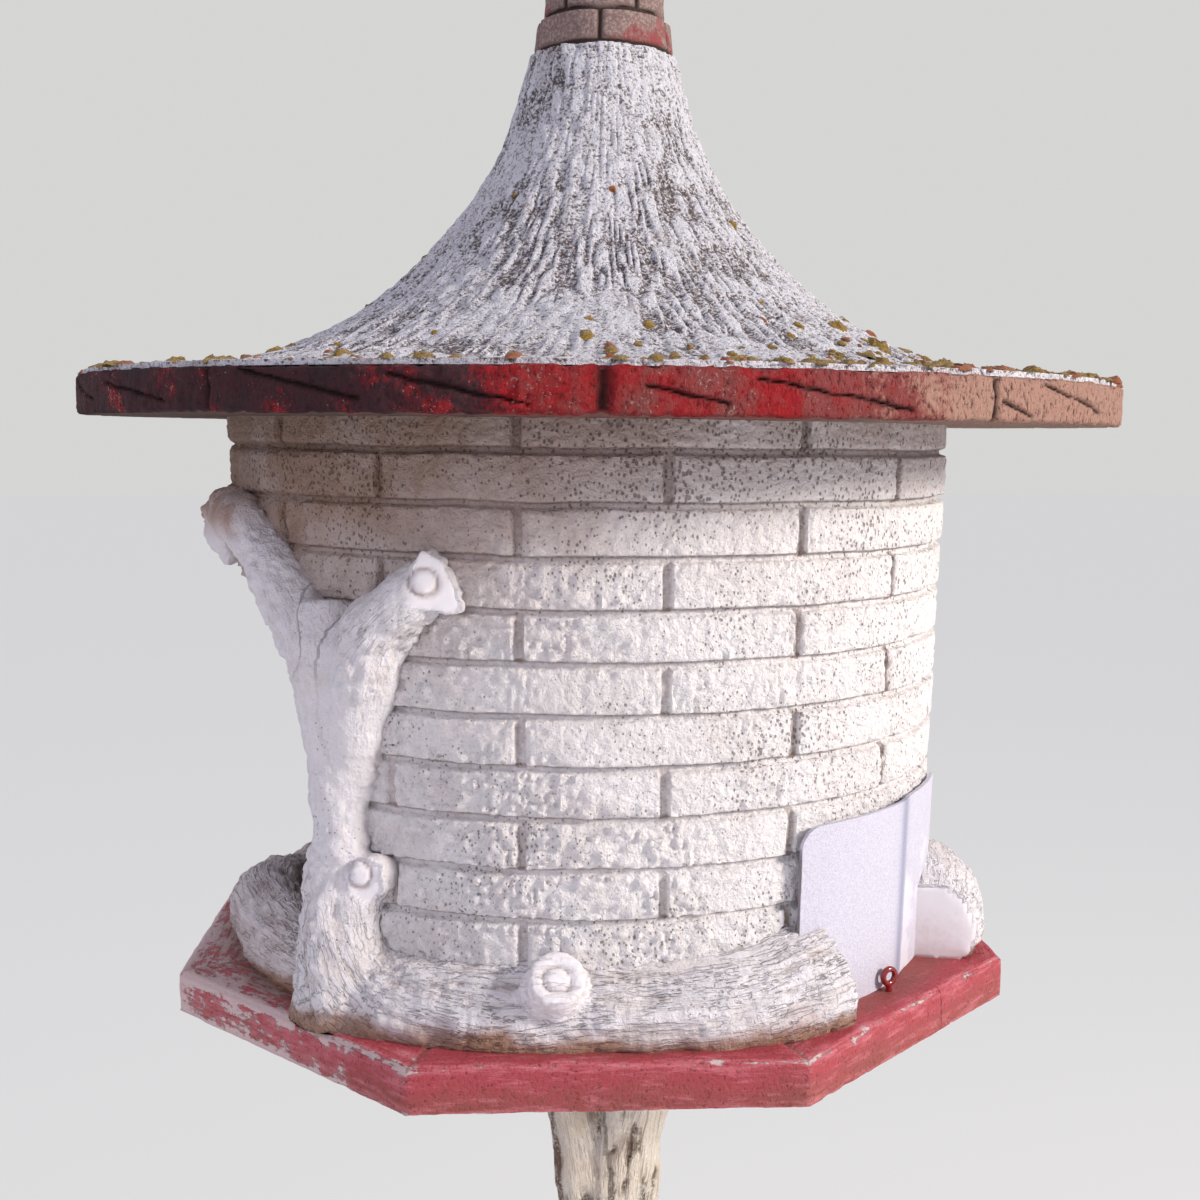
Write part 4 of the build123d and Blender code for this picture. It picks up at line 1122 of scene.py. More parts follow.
def hatch_mesh():
    """The bent sheet with round corners, a crease near its right side and slightly wavy edges."""
    width = wall_foot_radius * sin(radians(hatch_half_angle))
    half = degrees(asin(width / (wall_foot_radius + hatch_clearance)))
    share = np.sin(np.linspace(-pi / 2, pi / 2, 90))
    angle = hatch_angle + half * share
    to_side = (1 - np.abs(share)) * width
    corner = np.where(share > 0, far_corner, hatch_corner)
    drop = corner - np.sqrt(np.maximum(corner**2 - np.maximum(corner - to_side, 0) ** 2, 0))
    up = (1 - np.cos(np.linspace(0, pi, 46)))[:, None] / 2
    height = hatch_seat_gap + drop + up * (hatch_height - 2 * drop)
    base = wall_radius(height) + hatch_clearance
    crease = 3.4 * mm * smooth(crease_angle - 2, crease_angle + 5, angle)
    shell = [
        round_house(angle, base + hatch_sheet - crease, height),
        round_house(angle, base - crease, height)[::-1],
    ]
    points = np.vstack(shell)
    marks = {
        # A band of painted shade along the crease.
        "crease_painted_shade": np.vstack(
            [np.exp(-(((angle - crease_angle - 1) / 1.8) ** 2)) * 0.75 * np.ones_like(up)] * 2
        ),
        "peel": np.vstack(
            [smooth(crease_angle + 1, crease_angle + 3, angle) * 0.62 * smooth(0.95, 0.7, up)] * 2
        ),
        "edge": np.vstack([np.exp(-to_side / (1.5 * mm)) * np.ones_like(up)] * 2),
    }
    return skin("hatch_sheet", points, True, False, capped=True, marks=marks)


place_piece(
    "hatch_sheet", hatch_mesh(), painted_sheet(), ["hatch_plate"], body="hatch"
)


# Screw eye: a small steel eye screwed into the plate in front of the sheet, which keeps the
# sheet's foot in place. It is dipped in thick glossy red paint.
eye_angle = 49.0
eye_turn = -20.0
eye_ring_radius = 4.6 * mm
eye_wire = 1.9 * mm
eye_shank = 5 * mm
eye_red = "#6e0f16"


def glossy_red_paint():
    """Gloss paint over steel wire: deep red, wet-looking, with small runs."""
    material, tree, shader, place = new_material("glossy_red_paint")
    runs = add(tree, "TexNoise", {"Vector": place, "Scale": per(4), "Detail": 2.0})
    colour = add(tree, "MixRGB", {"Fac": runs, "Color1": linear(eye_red), "Color2": linear("#8d1a20")})
    tree.links.new(colour, shader.inputs["Base Color"])
    shader.inputs["Roughness"].default_value = 0.18
    shader.inputs["Coat Weight"].default_value = 0.6
    shader.inputs["Coat Roughness"].default_value = 0.08
    relief = add(tree, "Bump", {"Height": runs, "Strength": 0.3, "Distance": 0.4 * mm})
    tree.links.new(relief, shader.inputs["Normal"])
    return material


def eye_mesh():
    """The ring and its shank in one skin, so that the paint fills the corner between them."""
    eye_low, eye_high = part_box("hatch_eye")
    middle = np.array([(eye_low.x + eye_high.x) / 2, (eye_low.y + eye_high.y) / 2, 0])
    centre = middle + np.array([0, 0, floor_z + eye_shank + eye_ring_radius])
    facing = radians(eye_angle + eye_turn)
    across = np.array([cos(facing), sin(facing), 0])
    turns = np.linspace(0, 2 * pi, 40, endpoint=False)
    ring = [
        (centre + eye_ring_radius * (cos(turn) * across + sin(turn) * np.array([0, 0, 1])), eye_wire)
        for turn in turns
    ]
    outward = np.array([sin(facing), -cos(facing), 0])
    limbs = [limb(ring[:22], outward), limb(ring[20:] + ring[:2], outward)]
    foot = middle + np.array([0, 0, floor_z - 1 * mm])
    limbs.append(
        limb([(foot, 1.1 * eye_wire), (centre - np.array([0, 0, eye_ring_radius]), eye_wire)], across)
    )
    return cast_skin("screw_eye", limbs, 0.35 * mm)


screw_eye = eye_mesh()
screw_eye.shade_smooth()
place_piece("screw_eye", screw_eye, glossy_red_paint(), ["hatch_eye"])


# Eave: ten boards cast in concrete in a ring, each with two cracks cut into its rim, and
# painted red. The paint is dark with lichen and painted shade on the left, and bleached by
# the sun and brightened by painted light on the right.
eave_radius = 350 * mm
eave_inner_radius = 204 * mm
eave_thick = 24 * mm
board_count = 10
board_angle = 360 / board_count
board_cracks = {
    0: ((3.4, 14.5, 10.1, 6), (12.4, 18.5, 26.5, 5)),
    1: ((1.0, 11.0, 5.5, 3.5), (7.3, 20.0, 19.7, 7.5)),
    9: ((3.9, 22.5, 15.8, 7.0), (18.6, 19.0, 30.2, 5.0)),
}
usual_cracks = ((4, 20, 14, 8), (18, 17, 30, 6))
joint_widths = {0: 3.8, 1: 1.5}
eave_maroon = "#4f2830"
eave_plum = "#3c2a31"
eave_red = "#b1151f"
eave_brick = "#9b4a47"
eave_beige = "#c79a88"
eave_dark = "#2b1516"
eave_concrete = "#a08f80"
eave_lichen = "#b9b4ac"


def roof_place(angle, radius, height):
    """Points at an angle, a radius off the roof's crooked axis and a height over the eave's underside."""
    turn, lean = np.radians(angle), radians(roof_tilt)
    right = radius * np.sin(turn)
    x = right * cos(lean) + height * sin(lean)
    z = floor_z + wall_height + height * cos(lean) - right * sin(lean)
    return np.stack(np.broadcast_arrays(x, -radius * np.cos(turn), z), axis=-1)


def weathered_red_paint():
    """Old red paint on rough concrete: bleached, chipped, grey-green with lichen in its shade; painted shade
    darkens its left side and painted light brightens its right.
    """
    material, tree, shader, place = new_material("weathered_red_paint")
    sun_bleach_and_painted_light = add(tree, "Attribute", {}, output="Fac", attribute_name="sun_bleach_and_painted_light")
    crack = add(tree, "Attribute", {}, output="Fac", attribute_name="crack")
    under = add(tree, "Attribute", {}, output="Fac", attribute_name="under")
    patches = add(tree, "TexNoise", {"Vector": place, "Scale": per(34), "Detail": 7.0, "Roughness": 0.7})
    tall_place = add(tree, "Mapping", {"Vector": place, "Scale": (1.0, 1.0, 0.55)})
    crumbs = add(
        tree, "TexNoise", {"Vector": tall_place, "Scale": per(2.2), "Detail": 5.0, "Roughness": 0.75}
    )
    # Painted light and shade: dark plum on the left to pale beige on the right, partly sunlight bleaching
    # and partly painted light.
    uneven = add(tree, "Math", {0: patches, 1: 1.0, 2: sun_bleach_and_painted_light}, operation="MULTIPLY_ADD")
    uneven = add(tree, "Math", {0: crumbs, 1: 0.5, 2: uneven}, operation="MULTIPLY_ADD")
    uneven = add(tree, "Math", {0: uneven, 1: 0.29}, operation="SUBTRACT")
    tones = ((0.2, eave_plum), (0.42, eave_maroon), (0.62, eave_red), (0.82, eave_brick), (1.05, eave_beige))
    colour = linear(eave_plum)
    for (before, _), (level, tone) in zip(tones, tones[1:]):
        share = add(tree, "MapRange", {"Value": uneven, "From Min": before + 0.36, "From Max": level + 0.30})
        colour = add(tree, "MixRGB", {"Fac": share, "Color1": colour, "Color2": linear(tone)})
    hollow = add(tree, "MapRange", {"Value": crumbs, "From Min": 0.47, "From Max": 0.36, "To Max": 0.85})
    colour = add(tree, "MixRGB", {"Fac": hollow, "Color1": colour, "Color2": linear(eave_dark)})
    spots = add(tree, "TexNoise", {"Vector": place, "Scale": per(1.5), "Detail": 3.0, "Roughness": 0.65})
    crust = add(tree, "Math", {0: patches, 1: 0.7, 2: spots}, operation="MULTIPLY_ADD")
    crusted = add(tree, "MapRange", {"Value": crust, "From Min": 1.0, "From Max": 1.07, "To Max": 0.6})
    colour = add(tree, "MixRGB", {"Fac": crusted, "Color1": colour, "Color2": linear(eave_lichen)})
    colour = add(tree, "MixRGB", {"Fac": crack, "Color1": colour, "Color2": linear(eave_dark)})
    colour = add(tree, "MixRGB", {"Fac": under, "Color1": colour, "Color2": linear(eave_concrete)})
    tree.links.new(colour, shader.inputs["Base Color"])
    shader.inputs["Roughness"].default_value = 0.8
    shader.inputs["Specular IOR Level"].default_value = 0.3
    relief = add(tree, "Bump", {"Height": crumbs, "Strength": 1.0, "Distance": 5 * mm})
    tree.links.new(relief, shader.inputs["Normal"])
    return material


def board_mesh(number):
    """One eave board as a closed shell, chipped along its edges, with its cracks and open joints."""
    start = number * board_angle
    toward = (start + board_angle / 2 + 180) % 360 - 180
    in_view = abs(toward) < 100
    columns = 130 if in_view else 60
    angle = start + board_angle * np.linspace(0, 1, columns)
    rim = np.linspace(1.2 * mm, eave_thick - 1.2 * mm, 20 if in_view else 14)
    outline = [(inset * mm, 0) for inset in (146, 128, 108, 88, 68, 48, 34, 22, 14, 8, 4, 1.4)]
    outline += [(0, height) for height in rim]
    outline += [(inset * mm, eave_thick) for inset in (1.4, 4, 8, 14, 30, 80, 146)]
    inset, height = np.array(outline).T[:, :, None]
    points = roof_place(angle, eave_radius - inset, height)
    to_start = (angle - start) * radians(1) * eave_radius
    to_end = (start + board_angle - angle) * radians(1) * eave_radius
    gaps = [joint_widths.get(place % board_count, 1.8) * mm for place in (number, number + 1)]
    open_joint = np.exp(-((to_start / gaps[0]) ** 2)) + np.exp(-((to_end / gaps[1]) ** 2))
    on_rim = smooth(6 * mm, 1 * mm, inset)
    crack = np.zeros((len(outline), columns))
    for first, high, last, low in board_cracks.get(number, usual_cracks):
        arc = (angle - start) * radians(1) * eave_radius
        ends = np.radians([first, last]) * eave_radius
        share = np.clip((arc - ends[0]) / (ends[1] - ends[0]), -0.02, 1.02)
        wobble = 0.8 * mm * lumps(points, 22 * mm, seed=82) + 0.7 * mm * lumps(points, 7 * mm, seed=83)
        line = (high + (low - high) * share) * mm + wobble
        beyond = np.maximum(np.maximum(ends[0] - arc, arc - ends[1]), 0)
        width = (0.85 + 0.5 * lumps(points, 20 * mm, seed=84)) * mm
        crack = np.maximum(crack, np.exp(-(((height - line) ** 2 + beyond**2) / width**2)) * on_rim)
    edge = np.exp(-(np.minimum(height, eave_thick - height) + inset) / (2.5 * mm))
    broken = smooth(0.0, 0.6, crumble(points, 14 * mm, 3, seed=85))
    rough = 1.6 * mm * crumble(points, 16 * mm, 3, seed=86) + 1.1 * mm * lumps(points, 4 * mm, seed=87)
    wear = (
        rough - 2.4 * mm * broken * edge - 0.6 * mm * edge
        - 3.0 * mm * crack - 3.2 * mm * open_joint * on_rim
    )
    wear = np.where(inset > 60 * mm, 0.5 * rough, np.minimum(wear, 0.4 * mm))
    points = raise_skin(points, wear, True, False)
    # The boards' tone by angle: dark on the left as painted shade, pale on the right as painted light and
    # sun bleaching.
    sun_bleach_and_painted_light = np.interp(
        toward_sun(angle), (-95, -45, -12, -2, 3, 14, 30, 40, 75),
        (0.2, 0.26, 0.33, 0.56, 0.58, 0.58, 0.82, 0.98, 1.0),
    )
    under = smooth(0.5 * mm, -0.5 * mm, height) * smooth(2 * mm, 9 * mm, inset)
    marks = {
        "sun_bleach_and_painted_light": np.broadcast_to(sun_bleach_and_painted_light, crack.shape),
        "crack": np.clip(crack + 0.9 * open_joint * on_rim, 0, 1),
        "under": np.broadcast_to(under, crack.shape),
    }
    return skin(f"eave_board_skin_{number + 1}", points, True, False, capped=True, marks=marks)


def toward_sun(angle):
    """The angle folded so that the back repeats the sides: -90 to 90 with the right side positive."""
    angle = (np.asarray(angle) + 180) % 360 - 180
    return np.where(angle > 90, 180 - angle, np.where(angle < -90, -180 - angle, angle))


eave_paint = weathered_red_paint()
for number in range(board_count):
    board = f"eave_board_{number + 1}"
    place_piece(f"painted_{board}", board_mesh(number), eave_paint, [board])


# Thatch: cast in concrete with the strands of a thatched roof combed into it, from a wide
# skirt up to a narrow neck. Silver lichen covers the strands, and moss grows near the eave.
strand_gap = 4.4 * mm
thatch_rows = 160
thatch_white = "#e6e6ec"
thatch_grey = "#a19a9b"
thatch_dark = "#4b4140"
thatch_brown = "#8a6f5c"


def roof_outline(node):
    """Radius and height of a turned roof node's outside, read from its corners, from low to high."""
    corners = np.array([corner.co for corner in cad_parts[node].data.vertices])
    lean = radians(roof_tilt)
    off = corners - np.array([0, 0, floor_z + wall_height])
    up = off[:, 0] * sin(lean) + off[:, 2] * cos(lean)
    right = off[:, 0] * cos(lean) - off[:, 2] * sin(lean)
    radius = np.hypot(right, off[:, 1])
    levels = np.unique(np.round(up / (0.5 * mm)) * 0.5 * mm)
    outer = np.array([radius[np.abs(up - level) < 0.3 * mm].max() for level in levels])
    widest_above = np.maximum.accumulate(outer[::-1])[::-1]
    outside = outer > widest_above - 0.2 * mm
    return outer[outside], levels[outside]


def strands(angle, radius, along, seed):
    """Combed strands that keep about one width from skirt to neck: 0 in a groove, 1 on a strand."""
    turn = np.radians(angle)
    total, weights = 0, 0
    for level in range(5):
        count = 2 * pi * 42 * mm / strand_gap * 2**level
        ideal = count * strand_gap / (2 * pi)
        weight = np.maximum(1 - np.abs(np.log2(radius / ideal)), 0) + 1e-6
        drum = count / (2 * pi)
        place = np.stack(
            np.broadcast_arrays(np.cos(turn) * drum, np.sin(turn) * drum, along / (26 * mm)), -1
        )
        total = total + weight * lumps(place, 1.0, seed + level)
        weights = weights + weight
    return smooth(0.0, 0.45, np.abs(total / weights))


def lichened_thatch():
    """Concrete thatch under silver lichen: matt, speckled pale and black, brown in the grooves."""
    material, tree, shader, place = new_material("lichened_thatch")
    strand = add(tree, "Attribute", {}, output="Fac", attribute_name="strand")
    bare = add(tree, "Attribute", {}, output="Fac", attribute_name="bare")
    speckle = add(tree, "TexNoise", {"Vector": place, "Scale": per(1.9), "Detail": 3.0, "Roughness": 0.7})
    drops = add(tree, "TexNoise", {"Vector": place, "Scale": per(4.5), "Detail": 3.0, "Roughness": 0.6})
    patches = add(tree, "TexNoise", {"Vector": place, "Scale": per(24), "Detail": 5.0, "Roughness": 0.65})
    level = add(tree, "Math", {0: strand, 1: 0.18, 2: speckle}, operation="MULTIPLY_ADD")
    level = add(tree, "Math", {0: drops, 1: 0.45, 2: level}, operation="MULTIPLY_ADD")
    level = add(tree, "Math", {0: patches, 1: 0.12, 2: level}, operation="MULTIPLY_ADD")
    pale = add(tree, "MapRange", {"Value": level, "From Min": 0.81, "From Max": 0.95})
    colour = add(
        tree, "MixRGB", {"Fac": pale, "Color1": linear(thatch_grey), "Color2": linear(thatch_white)}
    )
    browned = add(tree, "Math", {0: bare, 1: patches}, operation="ADD")
    brown = add(tree, "MapRange", {"Value": browned, "From Min": 0.68, "From Max": 0.95, "To Max": 0.75})
    colour = add(tree, "MixRGB", {"Fac": brown, "Color1": colour, "Color2": linear(thatch_brown)})
    black = add(tree, "MapRange", {"Value": level, "From Min": 0.84, "From Max": 0.73, "To Max": 0.85})
    colour = add(tree, "MixRGB", {"Fac": black, "Color1": colour, "Color2": linear(thatch_dark)})
    tree.links.new(colour, shader.inputs["Base Color"])
    shader.inputs["Roughness"].default_value = 0.92
    shader.inputs["Specular IOR Level"].default_value = 0.2
    height = add(tree, "Math", {0: drops, 1: 0.8, 2: speckle}, operation="MULTIPLY_ADD")
    relief = add(tree, "Bump", {"Height": height, "Strength": 0.9, "Distance": 4.0 * mm})
    tree.links.new(relief, shader.inputs["Normal"])
    return material


def thatch_columns():
    """Angles round the roof, closer together in front."""
    front = np.linspace(-95, 95, 400, endpoint=False)
    back = np.linspace(95, 265, 140, endpoint=False)
    return np.concatenate([front, back])


def thatch_mesh():
    """The outside of the roof from its lip to its neck, and its hollow underside."""
    outer, levels = roof_outline("roof_thatch")
    keep = levels > eave_thick + 1.0 * mm
    outer, levels = outer[keep], levels[keep]
    path = np.concatenate([[0], np.cumsum(np.hypot(np.diff(outer), np.diff(levels)))])
    along = np.linspace(0, path[-1], thatch_rows)
    radius = np.interp(along, path, outer)[:, None]
    height = np.interp(along, path, levels)[:, None]
    angle = thatch_columns()
    strand = strands(angle, radius, along[:, None], seed=90)
    points = roof_place(angle, radius, height)
    drift = crumble(points, 40 * mm, 3, seed=95)
    combed = smooth(-0.35, 0.35, lumps(points, 45 * mm, seed=98))
    relief = (
        (0.9 + 1.3 * combed) * mm * (strand - 1)
        + 2.4 * mm * drift + 1.4 * mm * lumps(points, 6 * mm, seed=97)
    )
    relief = np.minimum(relief, 1.0 * mm) * smooth(0, 9 * mm, along[:, None] + 2 * mm)
    strand = 1 - (1 - strand) * (0.35 + 0.65 * combed)
    points = raise_skin(points, relief, False, True)
    lip = [
        roof_place(angle, radius[0, 0], eave_thick - 0.2 * mm),
        roof_place(angle, radius[0, 0] - 3 * mm, eave_thick - 0.4 * mm),
    ]
    hollow = [(eave_inner_radius, eave_thick), (150 * mm, 46 * mm), (100 * mm, 76 * mm), (62 * mm, 122 * mm)]
    hollow += [(44 * mm, 168 * mm), (22 * mm, 196 * mm), (1 * mm, 200 * mm)]
    ceiling = [roof_place(angle, ring, rise) for ring, rise in reversed(hollow)]
    top = [roof_place(angle, radius[-1, 0] * share, height[-1, 0]) for share in (0.9, 0.5, 0.02)]
    points = np.vstack([np.array(ceiling), np.array(lip[::-1]), points, np.array(top)])
    extra_low, extra_high = len(ceiling) + len(lip), len(top)
    strand = np.vstack([np.ones((extra_low, len(angle))), strand, np.ones((extra_high, len(angle)))])
    bare = np.interp(
        np.concatenate([np.zeros(extra_low), along, np.full(extra_high, along[-1])]),
        (0, 60 * mm, 200 * mm), (0.15, 0.05, 0.12),
    )
    bare = np.broadcast_to(bare[:, None], strand.shape)
    return skin("thatch_skin", points, True, True, marks={"strand": strand, "bare": bare})


place_piece("thatch_skin", thatch_mesh(), lichened_thatch(), ["roof_thatch"])


# Moss: cushions of moss that grow between the strands, mostly near the eave and on the
# sides that stay damp. They are golden where the sun has dried them, and olive elsewhere.
moss_count = 900
moss_gold = "#a8801f"
moss_olive = "#5f531c"
moss_rust = "#93511f"


def dry_moss():
    """Moss: soft and dull, golden tips over olive, some of it rust brown."""
    material, tree, shader, place = new_material("dry_moss")
    tuft = add(tree, "Attribute", {}, output="Fac", attribute_name="tuft")
    fronds = add(tree, "TexNoise", {"Vector": place, "Scale": per(1.4), "Detail": 4.0, "Roughness": 0.7})
    tips = add(tree, "MapRange", {"Value": fronds, "From Min": 0.4, "From Max": 0.6})
    colour = add(tree, "MixRGB", {"Fac": tips, "Color1": linear(moss_olive), "Color2": linear(moss_gold)})
    rusty = add(tree, "MapRange", {"Value": tuft, "From Min": 0.72, "From Max": 0.8})
    colour = add(tree, "MixRGB", {"Fac": rusty, "Color1": colour, "Color2": linear(moss_rust)})
    tree.links.new(colour, shader.inputs["Base Color"])
    shader.inputs["Roughness"].default_value = 0.95
    shader.inputs["Specular IOR Level"].default_value = 0.15
    shader.inputs["Sheen Weight"].default_value = 0.3
    relief = add(tree, "Bump", {"Height": fronds, "Strength": 1.0, "Distance": 1.5 * mm})
    tree.links.new(relief, shader.inputs["Normal"])
    return material


def moss_mesh():
    """Small ragged cushions set on the roof's surface by a seeded draw."""
    outer, levels = roof_outline("roof_thatch")
    keep = levels > eave_thick + 1.0 * mm
    outer, levels = outer[keep], levels[keep]
    path = np.concatenate([[0], np.cumsum(np.hypot(np.diff(outer), np.diff(levels)))])
    draw = np.random.default_rng(7)
    turns, rings = np.meshgrid(np.linspace(0, 2 * pi, 9)[:-1], np.linspace(0, 1, 4))
    corners, faces, tufts = [], [], []
    placed = 0
    while placed < moss_count:
        angle, along, luck = draw.uniform(-180, 180), draw.exponential(42 * mm), draw.uniform(0, 1)
        side_weight = (
            0.16 + 0.8 * np.exp(-(((angle - 52) / 34) ** 2))
            + 0.5 * np.exp(-(((abs(angle) - 90) / 30) ** 2))
        )
        if along > path[-1] - 6 * mm or luck > side_weight:
            continue
        placed += 1
        size = draw.uniform(1.5, 3.4) * mm * (1.8 if draw.uniform(0, 1) < 0.3 else 1)
        ring, rise = np.interp(along, path, outer), np.interp(along, path, levels)
        spread, tall = size * rings, 0.62 * size * np.sqrt(1 - rings**2) - 0.9 * mm
        off_turn = np.degrees(spread * np.cos(turns) / ring)
        off_path = 1.4 * spread * np.sin(turns)
        slope = np.arctan2(
            np.interp(along + mm, path, levels) - rise, ring - np.interp(along + mm, path, outer)
        )
        radius = ring - off_path * cos(slope) + tall * sin(slope)
        height = rise + off_path * sin(slope) + tall * cos(slope)
        blob = roof_place(angle + off_turn, radius, height)
        blob = blob + 0.35 * size * np.stack([lumps(blob, 1.6 * mm, seed) for seed in (111, 112, 113)], -1)
        first = len(corners)
        corners.extend(blob.reshape(-1, 3).tolist())
        tufts.extend([draw.uniform(0, 1)] * blob.size)
        rows, columns = rings.shape
        for row in range(rows - 1):
            for column in range(columns):
                after = (column + 1) % columns
                low, high = first + row * columns, first + (row + 1) * columns
                faces.append((low + column, high + column, high + after, low + after))
    mesh = bpy.data.meshes.new("roof_moss")
    mesh.from_pydata(corners, [], faces)
    attribute = mesh.attributes.new("tuft", "FLOAT", "POINT")
    attribute.data.foreach_set("value", np.array(tufts[::3], np.float32))
    mesh.shade_smooth()
    return mesh


place_piece("roof_moss", moss_mesh(), dry_moss(), ["roof_thatch"])


# Chimney: five round courses of cast bricks on the roof's neck, the top one corbelled round
# a flue. The red paint has weathered off to brown concrete, and moss grows at its foot.
chimney_bricks = 5
chimney_first_head = -3.8
chimney_brown = "#7d6661"
chimney_grey = "#a3928a"
chimney_red = "#8c3a3d"
chimney_dark = "#3c302b"


def worn_brick():
    """Cast bricks with remnants of red paint: brown-grey concrete, dark in the joints."""
    material, tree, shader, place = new_material("worn_chimney_brick")
    joint = add(tree, "Attribute", {}, output="Fac", attribute_name="joint")
    painted = add(tree, "Attribute", {}, output="Fac", attribute_name="painted")
    patches = add(tree, "TexNoise", {"Vector": place, "Scale": per(16), "Detail": 6.0, "Roughness": 0.7})
    grit = add(tree, "TexNoise", {"Vector": place, "Scale": per(2.2), "Detail": 4.0, "Roughness": 0.7})
    pale = add(tree, "MapRange", {"Value": grit, "From Min": 0.45, "From Max": 0.65})
    colour = add(
        tree, "MixRGB", {"Fac": pale, "Color1": linear(chimney_brown), "Color2": linear(chimney_grey)}
    )
    left = add(tree, "Math", {0: painted, 1: patches}, operation="ADD")
    red = add(tree, "MapRange", {"Value": left, "From Min": 0.92, "From Max": 1.06, "To Max": 0.85})
    colour = add(tree, "MixRGB", {"Fac": red, "Color1": colour, "Color2": linear(chimney_red)})
    deep = add(tree, "Math", {0: joint, 1: grit}, operation="ADD")
    dark = add(tree, "MapRange", {"Value": deep, "From Min": 0.75, "From Max": 1.25})
    colour = add(tree, "MixRGB", {"Fac": dark, "Color1": colour, "Color2": linear(chimney_dark)})
    tree.links.new(colour, shader.inputs["Base Color"])
    shader.inputs["Roughness"].default_value = 0.88
    shader.inputs["Specular IOR Level"].default_value = 0.25
    relief = add(tree, "Bump", {"Height": grit, "Strength": 0.7, "Distance": 1.4 * mm})
    tree.links.new(relief, shader.inputs["Normal"])
    return material


def chimney_mesh():
    """All courses in one skin, with the cap's flue."""
    courses = []
    for number in range(5):
        outer, levels = roof_outline(f"chimney_course_{number + 1}")
        courses.append((outer, levels))
    flue_depth = courses[4][1][-1] - courses[4][1][0] - 0.5 * mm
    foot = courses[0][1][0]
    top = courses[4][1][-1]
    each = (top - foot) / 5
    height = np.linspace(foot, top, 96)
    lows = [courses[number][0].max() for number in range(5)]
    highs = [courses[number][0][len(courses[number][0]) // 2 :].max() for number in range(5)]
    share = (height - foot) / each
    number = np.minimum(share.astype(int), 4)
    radius = np.array(
        [np.interp(part - row, (0, 1), (lows[row], highs[row])) for part, row in zip(share, number)]
    )
    angle = np.linspace(-180, 180, 190, endpoint=False)
    radius, height, share = radius[:, None], height[:, None], share[:, None]
    points = roof_place(angle, radius, height)
    wander = 0.9 * mm * lumps(points, 9 * mm, seed=101) + 0.8 * mm * lumps(points, 24 * mm, seed=102)
    lift = share + wander / each
    course = np.floor(lift)
    turn = (angle - chimney_first_head) * chimney_bricks / 360 + 0.5 * (course % 2)
    to_bed = np.abs(lift - np.round(lift)) * each
    to_head = np.abs(turn - np.round(turn)) * 2 * pi / chimney_bricks * radius
    gap = np.minimum(to_bed, to_head)
    joint = 1 - smooth(0.6 * mm, 2.6 * mm, gap)
    relief = 1.1 * mm * crumble(points, 12 * mm, 3, seed=103) * (1 - joint) - 2.6 * mm * joint - 0.5 * mm
    points = raise_skin(points, relief, False, True)
    painted = (
        0.3 + 0.25 * crumble(points, 26 * mm, 2, seed=104)
        + 0.2 * smooth(-20, 40, angle) * smooth(1.2, 0.2, share)
    )
    flue = radius[-1, 0] - 24.5 * mm
    crown_rings = [
        (radius[-1, 0] - 5 * mm, top), (flue + 1 * mm, top),
        (flue, top - 1 * mm), (flue, top - flue_depth),
    ]
    crown_rings += [(1 * mm, top - flue_depth)]
    rings = np.array([roof_place(angle, ring, rise) for ring, rise in crown_rings])
    bottom = np.array([roof_place(angle, ring, foot) for ring in (1 * mm, radius[0, 0] - 4 * mm)])
    points = np.vstack([bottom, points, rings])
    flat = lambda count, value: np.full((count, len(angle)), value)
    # Painted shade: the flue's walls and floor take the joints' dark colour, as if in shade.
    joint = np.vstack([flat(2, 0.0), joint, flat(2, 0.1), flat(3, 0.9)])
    painted = np.vstack([flat(2, 0.0), painted, flat(5, 0.2)])
    return skin("chimney_bricks", points, True, True, marks={"joint": joint, "painted": painted})


chimney_nodes = [f"chimney_course_{number + 1}" for number in range(5)]
place_piece("chimney_bricks", chimney_mesh(), worn_brick(), chimney_nodes)


# Setting: a pale studio floor that runs into a pale background, a large soft lamp high on
# the right as the sun was, a weaker one on the left and an even sky.
floor_size = 60.0
floor_grey = "#f1f1ef"

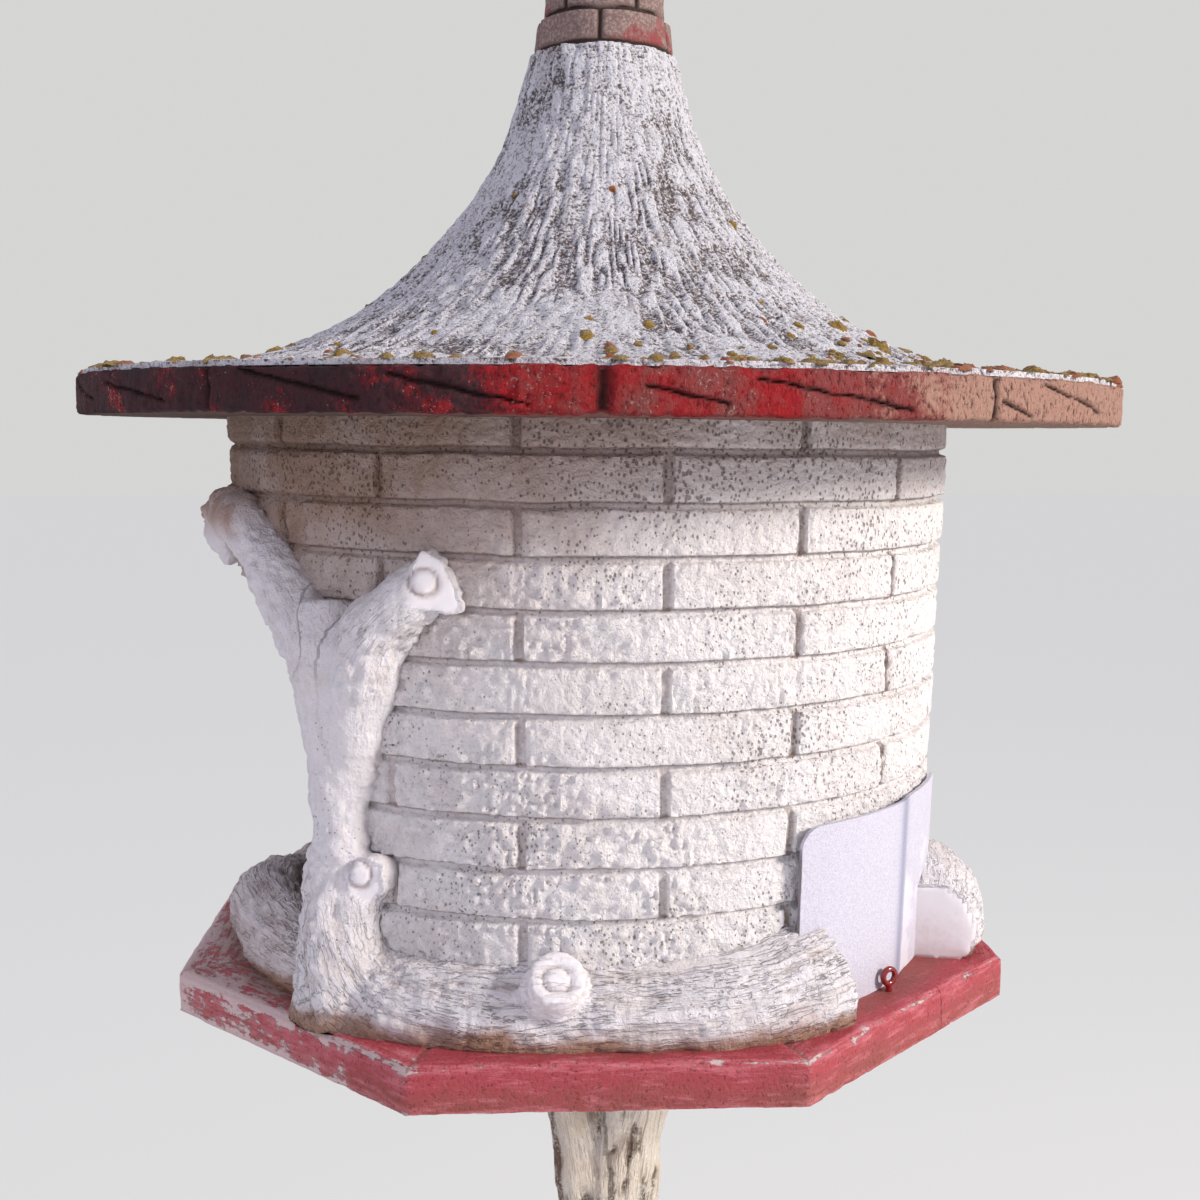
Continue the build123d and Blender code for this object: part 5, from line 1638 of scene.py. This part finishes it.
floor_data = bpy.data.meshes.new("studio_floor")
half = floor_size / 2
floor_data.from_pydata(
    [(-half, -half, 0), (half, -half, 0), (half, half, 0), (-half, half, 0)], [], [(0, 1, 2, 3)]
)
studio_floor = bpy.data.objects.new("studio_floor", floor_data)
bpy.context.scene.collection.objects.link(studio_floor)
floor_finish, floor_tree, floor_shader = new_material("pale_floor")[:3]
floor_shader.inputs["Base Color"].default_value = linear(floor_grey)
floor_shader.inputs["Roughness"].default_value = 0.9
floor_glow = add(floor_tree, "Emission", {"Color": linear("#f4f4f2"), "Strength": 0.86})
floor_path = floor_tree.nodes.new("ShaderNodeLightPath")
floor_seen = add(
    floor_tree, "Math",
    {0: floor_path.outputs["Is Camera Ray"], 1: floor_path.outputs["Is Glossy Ray"]}, operation="ADD",
)
floor_seen = add(
    floor_tree, "Math", {0: floor_seen, 1: floor_path.outputs["Is Transmission Ray"]}, operation="ADD"
)
floor_share = add(floor_tree, "Math", {0: floor_seen, 1: 0.62}, operation="MULTIPLY", use_clamp=True)
floor_mix = add(floor_tree, "MixShader", {0: floor_share, 1: floor_shader.outputs["BSDF"], 2: floor_glow})
floor_output = [node for node in floor_tree.nodes if node.type == "OUTPUT_MATERIAL"][0]
floor_tree.links.new(floor_mix, floor_output.inputs["Surface"])
floor_data.materials.append(floor_finish)


def lamp(name, place, target, size, watts, colour):
    """A square soft lamp that points at a target."""
    data = bpy.data.lights.new(name, "AREA")
    data.size = size
    data.energy = watts
    data.color = linear(colour)[:3]
    made = bpy.data.objects.new(name, data)
    made.location = place
    aim = np.array(target) - np.array(place)
    yaw = np.arctan2(aim[0], -aim[1])
    tilt = np.arctan2(np.hypot(aim[0], aim[1]), -aim[2])
    made.rotation_euler = (tilt, 0, yaw + pi)
    bpy.context.scene.collection.objects.link(made)


lamp_target = (0, 0, 1.1)
lamp("sun_side", (2.72, -1.25, 2.25), lamp_target, 0.6, 106, "#fff6ec")
lamp("front_fill", (-2.2, -2.9, 2.4), lamp_target, 2.0, 25, "#f4f1ff")

world = bpy.data.worlds.new("studio_sky")
world.use_nodes = True
world.node_tree.nodes.clear()
sky = add(world.node_tree, "Background", {"Color": linear("#f0eeff"), "Strength": 0.6})
backdrop = add(world.node_tree, "Background", {"Color": linear("#f4f4f2"), "Strength": 0.74})
path = world.node_tree.nodes.new("ShaderNodeLightPath")
rays = add(
    world.node_tree, "Math",
    {0: path.outputs["Is Camera Ray"], 1: path.outputs["Is Glossy Ray"]}, operation="ADD",
)
rays = add(
    world.node_tree, "Math",
    {0: rays, 1: path.outputs["Is Transmission Ray"]}, operation="ADD", use_clamp=True,
)
seen = add(world.node_tree, "MixShader", {0: rays, 1: sky, 2: backdrop})
world_output = world.node_tree.nodes.new("ShaderNodeOutputWorld")
world.node_tree.links.new(seen, world_output.inputs["Surface"])
bpy.context.scene.world = world
bpy.context.scene.view_settings.view_transform = "Standard"
